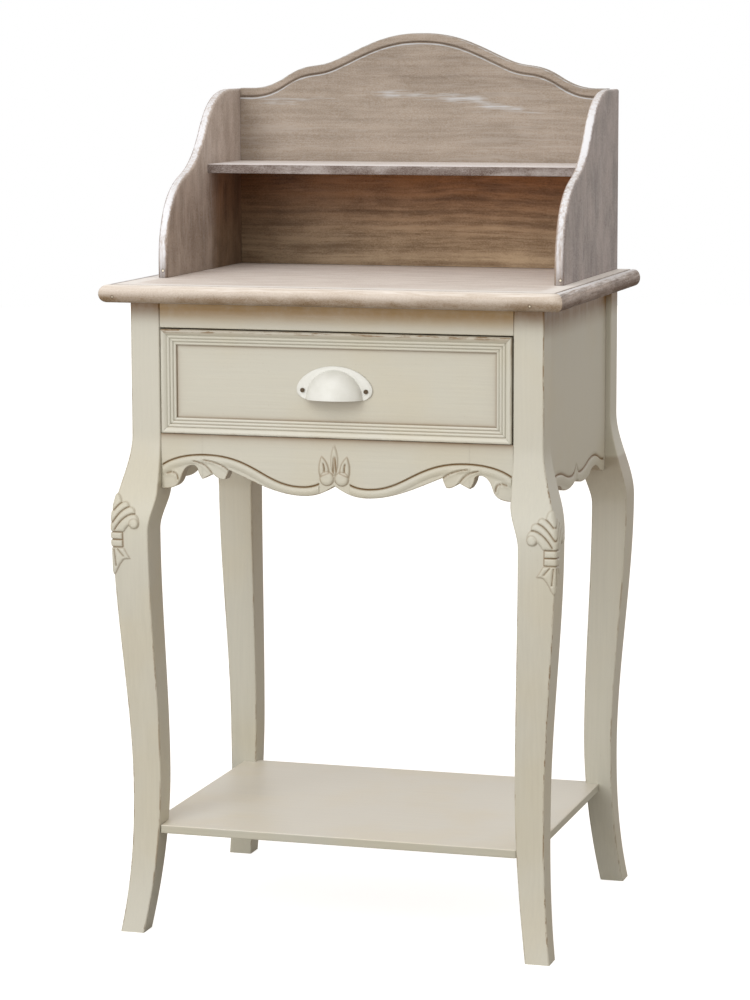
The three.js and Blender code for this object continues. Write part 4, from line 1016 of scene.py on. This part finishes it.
def eased_board(name, outline, thickness, place, wear, radius=3.4, inner=4.2):
    """Rings from the back face round the eased arris to the front face. The
    first and last ring lie a little further in, where the wear has ended.
    The lowest edge stays flat, because it stands on another board. wear gives stain and rub by (along, up),
    for the middle of the edge; there the rub is worn lime and also a painted highlight, strongest in the
    middle of the round edge."""
    inset, out, _ = around_edge(radius, thickness, 7)
    inset = np.concatenate([[inner], inset, [inner]])[:, None]
    out = np.concatenate([[-thickness], out, [0]])[:, None]
    step = mitre_steps(outline)
    step[outline[:, 1] < outline[:, 1].min() + 0.01, 1] = 0
    middle = np.clip(1.15 * (1 - (2 * out / thickness + 1)**2), 0, 1)
    stain_and_shade, rub_and_highlight = wear(*outline.T)
    rings = outline - inset[..., None] * step
    return make_piece(name, place(rings[..., 0], rings[..., 1], out), stain_and_shade * (inset < inner), rub_and_highlight * middle)


def edge_wear_and_highlight(along, up, white):
    """Brown at the foot of the front edge and again at 46 mm; white all along it, and more at 82 mm and at
    168 mm, as painted highlights where the round edge shines. The larger white is, the stronger the lower of
    these two and the weaker the others above the foot."""
    above, front = up - TOP_HEIGHT, along < HALF_DEPTH - 5
    stain_and_shade = 0.85 * bell(above, 20) + (0.25 - 0.25 * white) * bell(above - 46, 22)
    rub_and_highlight = 0.6 + white * 0.34 * bell(above - 82, 30) + (0.55 - 0.34 * white) * bell(above - 168, 30)
    return np.minimum(stain_and_shade, 1) * front, rub_and_highlight * front


def gallery_side_outline():
    """Level part, S-curve down to the upright front, then the foot. The
    curve is given by shares of the run and of the height."""
    run, front, foot = GALLERY_DEPTH - 44, HALF_DEPTH - GALLERY_DEPTH, TOP_HEIGHT + GAP
    curve = drawn((GALLERY_DEPTH / run, 1), [(1, 1)], [(0.8, 1), (0.69, 0.92), (0.604, 0.797)],
                  [(0.54, 0.7), (0.46, 0.6), (0.31, 0.548)], [(0.145, 0.49), (0.058, 0.4), (0.012, 0.21)],
                  [(0, 0.14), (0, 0.08)], steps=20) * [run, GALLERY_HEIGHT] + [front, TOP_HEIGHT]
    upright = together(front, np.linspace(curve[-1, 1], foot, 13)[1:])
    return np.vstack([curve, upright, [[HALF_DEPTH, foot]]])


side_outline = gallery_side_outline()
for side, side_x in SIDES:
    board = eased_board(f"gallery_side_{side}_shown", side_outline, GALLERY_BOARD,
                        face_side(HALF_WIDTH, side_x),
                        lambda along, up: edge_wear_and_highlight(along, up, 0.9 if side_x < 0 else 0.25))
    stands_for(board, "case", limed_side, "limed_wood", f"gallery_side_{side}")

# %% [markdown]
# # Profiles carried along a strip
# The rounded edge of the top and the drawer's moulding are strips of one
# section with mitred ends. A section is a closed list of (in, up) pairs. At a
# mitre every point is cut back by its own distance in from the outer edge.
# %% Strips
def strip(name, section, half_length, place, stain_and_shade, rub_and_highlight, mitre=(1, 1), gap=0.15, stations=2, end_painted_shade=0.0):
    """Ring r of the strip lies at (2r/(n-1) - 1) times the length left after the mitre; place turns (along,
    in, up) into points. Towards the far end the stain grows by the end share times exp(-(distance / 9)^2), a
    painted shade where the edge turns the corner."""
    run = np.linspace(-1, 1, stations)[:, None]
    along = run * (half_length - np.where(run < 0, *mitre) * (section[:, 0] + gap))
    wax_and_shade = np.maximum(stain_and_shade, end_painted_shade * bell(half_length - along, 9))
    return make_piece(name, place(along, *section.T), wax_and_shade, rub_and_highlight, sharp=50)


def moulding_section():
    """From the drawer's edge inwards: a slightly hollow band 7 mm wide, then
    three half-round reeds, each lower than the one before, down to the panel."""
    band = [(0, GAP), (0, 5.3), (0.4, 6.1), (1.2, 6.5), (3.2, 6.2), (5.2, 5.3), (6.6, 4.3), (7.0, 3.6)]
    turn = np.linspace(0, math.pi, 9)[1:]
    reed = together(REED / 2 * (1 - np.cos(turn)), 3.4 + 1.7 * np.sin(turn) - 0.12 * turn)
    reeds = [reed + [start, -0.9 * i] for i, start in enumerate(REEDS)]
    return np.vstack([band, *reeds, [[MOULDING, GAP]]])


MOULDING, MOULDING_RISE, PROUD, REED = 18.4, 6.5, 2.3, 3.8
REEDS = 7.0 + REED * np.arange(3)
DRAWER_FACE = -HALF_DEPTH - PROUD + MOULDING_RISE
FRONT_HALF = POST_IN_X - 1.7
FRONT_LOW, FRONT_HIGH = APRON_TOP + 0.8, OPENING_TOP - 1.5
FRONT_MIDDLE, FRONT_TALL = (FRONT_LOW + FRONT_HIGH) / 2, (FRONT_HIGH - FRONT_LOW) / 2
section = moulding_section()
inward = section[:, 0]
edge_wax, crest = 0.6 * bell(inward - MOULDING, 0.5), 0.55 * bell(inward, 1.0)
# Brown in the valleys between the reeds of the lower moulding: painted shade.
reed_painted_shade = 0.3 * bell(inward[:, None] - REEDS, 0.5).max(axis=1)
mouldings = {
    "top": (FRONT_HALF, lambda s, u, v: together(s, DRAWER_FACE - v, FRONT_HIGH - u), cream_across,
            0.2 * (inward < 6), 1.3 * bell(inward - 2.0, 1.5)),
    "bottom": (FRONT_HALF, lambda s, u, v: together(s, DRAWER_FACE - v, FRONT_LOW + u), cream_painted_lighter,
               reed_painted_shade, 0),
    "left": (FRONT_TALL, lambda s, u, v: together(u - FRONT_HALF, DRAWER_FACE - v, FRONT_MIDDLE + s),
             cream_upright, 0, 0),
    "right": (FRONT_TALL, lambda s, u, v: together(FRONT_HALF - u, DRAWER_FACE - v, FRONT_MIDDLE + s),
              cream_upright, 0, 0)}
for side, (half, place, finish, wax_and_shade, worn) in mouldings.items():
    piece = strip(f"moulding_{side}_shown", section, half, place, np.maximum(edge_wax, wax_and_shade), crest + worn)
    stands_for(piece, "drawer", finish, "cream_paint", f"drawer_moulding_{side}")

# %% [markdown]
# # The drawer's panel
# The flat panel inside the moulding holds wax in its corners and in a thin dark line beside the moulding,
# with a faint wider painted shade beyond it, and a brown painted shadow below the cup pull.
# %% Drawer panel
PULL_BASE = APRON_TOP + 45.3


def sunk_relief(spots):
    """By the distance d to the moulding: a dark line of wax, 0.65 exp(-d/1.3), and a faint painted shade,
    0.12 exp(-d/8); and a brown painted shadow below the cup pull."""
    along, up = spots.T
    d = np.minimum(FRONT_HALF - np.abs(along), FRONT_TALL - np.abs(up - FRONT_MIDDLE)) - MOULDING
    d = np.maximum(d, 0)
    pull_shadow = 0.3 * bell(up - PULL_BASE + 3, 8) * np.exp(-(along / 36)**6)
    return 0, 0.65 * np.exp(-d / 1.3) + 0.12 * np.exp(-d / 8) + pull_shadow, 0


def close_to_ends(half, inner):
    """Values from -half to half, 1 mm apart outside inner and 6 mm inside."""
    outer = np.arange(inner, half, 1.0)
    middle = np.linspace(-inner, inner, int(inner / 3) + 1)
    return np.concatenate([[-half], -outer[::-1], middle[1:-1], outer, [half]])


panel = plain_board("drawer_panel_shown", close_to_ends(FRONT_HALF, FRONT_HALF - 30),
                    FRONT_MIDDLE + close_to_ends(FRONT_TALL, FRONT_TALL - 28), 13.5,
                    face_front(DRAWER_FACE), sunk_relief, 0.5)
stands_for(panel, "drawer", cream_across, "cream_paint", "drawer_front_panel")

# %% [markdown]
# # The board of the top
# The board is one piece with its grain from side to side. Its three free arrises are cut back to make one
# half of a V. Dark wax lies in the V. The corner under the gallery is painted darker as painted shade, and
# the strip beside the V is painted pale, partly as wear and partly as painted light.
# %% Board of the top
def top_relief(spots):
    """Height, stain and rub by the distance d to the nearest free edge. Along the gallery's back the stain is
    painted shade, and the pale strip beside the V is partly painted light.
    """
    across, up = np.abs(spots[:, 0]), spots[:, 1]
    d = np.minimum(BOARD_HALF - across, up - BOARD_FRONT)
    to_back = BACK_FACE - up
    gallery_corner_shade = (across < HALF_WIDTH - 11) * (to_back > -4) * np.exp(-np.abs(to_back) / 14)
    stain_and_shade = np.maximum(np.exp(-(d / 2.1)**4), 0.45 * gallery_corner_shade)
    return -1.9 * np.clip(1 - d / 1.6, 0, 1), stain_and_shade, 0.95 * bell(d - 12, 15)


margin = np.array([0, 0.4, 0.8, 1.2, 1.8, 3, 5, 8, 12, 16, 20])
columns = np.concatenate([margin - BOARD_HALF, np.linspace(24 - BOARD_HALF, BOARD_HALF - 24, 60),
                          BOARD_HALF - margin[::-1]])
rows = np.concatenate([BOARD_FRONT + margin, np.linspace(BOARD_FRONT + 24, HALF_DEPTH - 60, 30),
                       np.linspace(HALF_DEPTH - 54, HALF_DEPTH, 20)])
top_board = plain_board("top_board_shown", columns, rows, TOP_THICKNESS,
                        lambda s, u, v: together(s, u, TOP_HEIGHT + v), top_relief, 0.1)
stands_for(top_board, "case", limed_top, "limed_wood", "table_top")

# %% [markdown]
# # The rounded edge of the top
# A half-round strip is glued round three sides of the top, with a small V where it meets the board. The V
# holds dark wax, and the arris beside it is painted pale, partly worn and partly a painted highlight. The
# lower half is browned, partly as its own colour and partly as painted shade.
# %% Rounded edge
def nose_section():
    """Half ellipse 11 mm deep, its top starting 2 mm below the board's face where the V is. The first number
    is the distance in from the outermost point. The stain, brown that is partly painted shade on the lower
    half, grows from 3 mm under the top down to 4.5 mm above the lower edge, and is strongest in the V; the
    top is rubbed pale, partly as wear and partly as a painted highlight."""
    turn, half = np.linspace(-math.pi / 2, math.pi / 2, 33), TOP_THICKNESS / 2
    curve = together(1.5 + 9.5 * np.cos(turn)**0.85, half + half * np.sin(turn))
    out, up = np.vstack([[[0.3, 0]], curve, [[0.8, TOP_THICKNESS - 1.2], [0.2, TOP_THICKNESS - 2.0]]]).T
    stain_and_shade = 0.95 * ease((17.5 - up) / 13)
    stain_and_shade[-2:] = 0.7, 1.0
    from_top = TOP_THICKNESS - up
    rub_and_highlight = np.maximum(ease((1.7 - from_top) / 1.4), 0.5 * ease((8 - from_top) / 6)) * (out > 1.4)
    return together(NOSE - out, CASE_TOP + up), stain_and_shade, rub_and_highlight


nose, nose_stain, nose_rub = nose_section()
front_edge = strip("front_edge_shown", nose, BOARD_HALF + NOSE,
                   lambda s, u, v: together(s, BOARD_FRONT - NOSE + u, v), nose_stain, nose_rub,
                   stations=200, end_painted_shade=0.55)
stands_for(front_edge, "case", limed_edge, "limed_wood", "top_edge_front")
side_half = (HALF_DEPTH - BOARD_FRONT + NOSE) / 2
for side, side_x in SIDES:
    edge = strip(f"{side}_edge_shown", nose, side_half,
                 lambda s, u, v: together(side_x * (BOARD_HALF + NOSE - u), HALF_DEPTH - side_half + s, v),
                 nose_stain, nose_rub, mitre=(1, 0), gap=0.0)
    stands_for(edge, "case", limed_edge_side, "limed_wood", f"top_edge_{side}")

# %% [markdown]
# # The gallery shelf
# The shelf is let into both sides. Its top is nearly white with lime, its
# front edge is left brown, and the arris between them is worn pale. It is a
# strip too, with a section from front to back.
# %% Gallery shelf
SHELF_TOP, SHELF_THICKNESS, SHELF_DEPTH, SHELF_ARRIS = TOP_HEIGHT + 129, 11, 123.4, 1.3


def shelf_section():
    """(back from the front edge, height), with two round arrises in front."""
    turn, depth = np.linspace(0, math.pi / 2, 6), SHELF_DEPTH - GAP
    one, other = SHELF_ARRIS * (1 - np.sin(turn)), SHELF_ARRIS * (1 - np.cos(turn))
    section = np.vstack([together(one, other - SHELF_THICKNESS), [[0, -5]], together(other, -one),
                         [[3.5, 0], [depth, 0], [depth, -SHELF_THICKNESS]]])
    back, up = section.T
    return section + [0, SHELF_TOP], 1.0 * ((back < 1.2) & (up < -0.5)), 0.9 * ((back > 1) & (back < 4))


shelf, shelf_wax, shelf_rub = shelf_section()
gallery_shelf = strip("gallery_shelf_shown", shelf, GALLERY_INNER + 5,
                      lambda s, u, v: together(s, BACK_FACE - SHELF_DEPTH + u, v), shelf_wax, shelf_rub,
                      mitre=(0, 0))
stands_for(gallery_shelf, "case", limed_shelf, "limed_wood", "gallery_shelf")

# %% [markdown]
# # The cup pull
# The pull is a thin cast shell: a quarter of a ball, open below for the
# fingers, on a flange with an ear at each side. It is worked out on rays from
# the middle of its lower edge. Along a ray the profile goes from the crown
# down the dome, over a small fillet onto the flange, round its edge, and back
# inside the dome.
# %% Cup pull
PULL_HALF, PULL_TALL, DOME, PROJECTION, SHELL_WALL = 45.5, 38.3, 34, 22, 1.8
RAYS, DOME_STEPS = 73, 26


def flange_reach(angle):
    """Distance from the middle of the lower edge to the flange's outline."""
    right = drawn((PULL_HALF - 14, 0), [(PULL_HALF, 1), (PULL_HALF, 11)],
                  [(PULL_HALF, 21), (PULL_HALF * 0.62, PULL_TALL), (0, PULL_TALL)])
    polar = np.arctan2(right[:, 1], right[:, 0])
    reach = np.interp(np.minimum(angle, math.pi - angle), polar, np.hypot(*right.T))
    return np.maximum(reach, DOME + 1.6)


def cup_pull():
    """Rays by profile points; at an angle a the point is r (cos a, sin a)
    across the drawer front and h in front of it."""
    angle = np.linspace(0, math.pi, RAYS)[:, None]
    reach = flange_reach(angle)
    dome = np.linspace(0, 1.49, DOME_STEPS)
    inside_dome = dome[::-1]
    radius = [DOME * np.sin(dome), [34.4, 35.4], 35 + (reach - 35) * [0.55, 0.95], reach * [1, 1],
              [DOME - SHELL_WALL], (DOME - SHELL_WALL) * np.sin(inside_dome)]
    height = [PROJECTION * np.cos(dome), [1.9, 1.6, 1.6, 1.7, 1.3, 0, 0],
              (PROJECTION - SHELL_WALL) * np.cos(inside_dome)]
    r, h = np.hstack([np.ones((RAYS, 1)) * part for part in radius]), np.concatenate(height)
    stain_and_shade = np.zeros(r.shape)
    stain_and_shade[:, DOME_STEPS - 1:DOME_STEPS + 6] = 0.02, 0.08, 0.05, 0.03, 0.03, 0.1, 0.1
    grid = together(r * np.cos(angle), DRAWER_FACE - GAP - h, PULL_BASE + r * np.sin(angle))
    return make_piece("cup_pull_shown", grid, stain_and_shade, sharp=55, wrap=False)


stands_for(cup_pull(), "drawer", enamel, "cream_enamel", "cup_pull")

# %% [markdown]
# # The CAD pieces that stay
# The plain boards have the right shape already. Their meshes are loose
# triangles, so a Weld modifier joins them and a small Bevel eases the arrises.
# Each gets its own finish, with the grain along its length.
# %% Finishes for the CAD pieces
def eased(obj, width):
    """Joins the triangles and rounds the arrises sharper than 40 degrees."""
    weld = obj.modifiers.new("weld", "WELD")
    weld.merge_threshold = 0.00002
    bevel = obj.modifiers.new("eased arris", "BEVEL")
    bevel.width, bevel.segments, bevel.limit_method = width, 2, "ANGLE"
    bevel.angle_limit = math.radians(40)


staying = {
    "rear_panel": (cream_across, 0.0008), "lower_shelf": (cream_shelf, 0.0012),
    "drawer_back": (bare_wood_across, 0.0006), "drawer_bottom": (bare_wood, 0)}
for name in nodes:
    if name.startswith(("drawer_runner", "drawer_kicker", "drawer_stop", "drawer_side", "corner_block")):
        staying[name] = (bare_wood, 0.0005)
    if "screw" in name:
        staying[name] = (dark_steel, 0)
for name, (finish, width) in staying.items():
    nodes[name].data.materials.clear()
    nodes[name].data.materials.append(finish)
    if width:
        eased(nodes[name], width)
print("CAD pieces that stay:", len(staying))

# %% [markdown]
# # Floor, backdrop and light
# The table stands on a plain pale floor that keeps its shadow. A large soft
# lamp from the left front makes the front the lightest side. A lower one
# reaches the rear legs and shines on the knees, and the pale world fills the
# shade. To the camera the world is white, and the floor nearly so.
# %% Floor and light
FLOOR_RADIUS, FLOOR_RINGS, FLOOR_TURNS = 9, 12, 48
WHITE = (1, 1, 1, 1)
LAMP_TINT = (0.98, 1.0, 1.02)


def floor_finish(level=0.55, glow=0.84):
    """A matt grey of that level, with a white glow of its own only where the
    camera looks at it, so that it lights nothing."""
    made, tree, shader, place = new_material("plain pale floor", 0.0)
    shader.inputs["Roughness"].default_value = 0.9
    shader.inputs["Emission Color"].default_value = WHITE
    light, dark = (tuple(level * share for share in tint) + (1,)
                   for tint in ((1, 0.98, 0.95), (0.99, 0.97, 0.94)))
    seen = node(tree, "LightPath", None, "Is Camera Ray")
    link(shader, {"Base Color": blend(noise(place, 2, 3), light, dark), "Emission Strength": seen * glow})
    return made


def add_floor():
    """A disc at the feet's height: rings by angles, and a cap in the middle."""
    radius = np.linspace(0.001, FLOOR_RADIUS, FLOOR_RINGS)[:, None]
    turn = np.linspace(0, 2 * math.pi, FLOOR_TURNS, False)
    points = together(radius * np.cos(turn), radius * np.sin(turn), 0.0)
    faces = grid_quads(FLOOR_RINGS, FLOOR_TURNS, wrap=True)[:, ::-1].tolist() + [list(range(FLOOR_TURNS))]
    mesh = bpy.data.meshes.new("floor")
    mesh.from_pydata(points.reshape(-1, 3).tolist(), [], faces)
    mesh.materials.append(floor_finish())
    floor = put("floor", mesh)
    return floor


def add_lamp(name, place, target, size, power):
    """A round soft lamp at place that shines on target; both are in metres."""
    data = bpy.data.lights.new(name, "AREA")
    data.shape, data.size, data.energy, data.color = "DISK", size, power, LAMP_TINT
    return put(name, data, looking(np.subtract(target, place)), place)


def light_world(strength, tint):
    """The world lights the table with a soft fill; the camera and the shine
    on the paint see white."""
    world = bpy.data.worlds.new("soft room")
    bpy.context.scene.world = world
    world.use_nodes = True
    camera_ray, glossy_ray = node(world.node_tree, "LightPath", None, ("Is Camera Ray", "Is Glossy Ray"))
    seen = highest(camera_ray, glossy_ray)
    link(world.node_tree.nodes["Background"],
         {"Color": blend(seen, tint, WHITE), "Strength": seen * (1 - strength) + strength})


floor = add_floor()
key = add_lamp("soft key", (-0.75, -3.3, 3.4), (0, 0, 0.55), 3.0, 61)
fill = add_lamp("low front fill", (-1.3, -4.04, 0.95), (0, 0, 0.4), 1.6, 42)
light_world(0.68, (1.0, 0.92, 0.83, 1))
bpy.context.scene.view_settings.view_transform = "Standard"
print("lamp power in watts:", key.data.energy, "and", fill.data.energy)
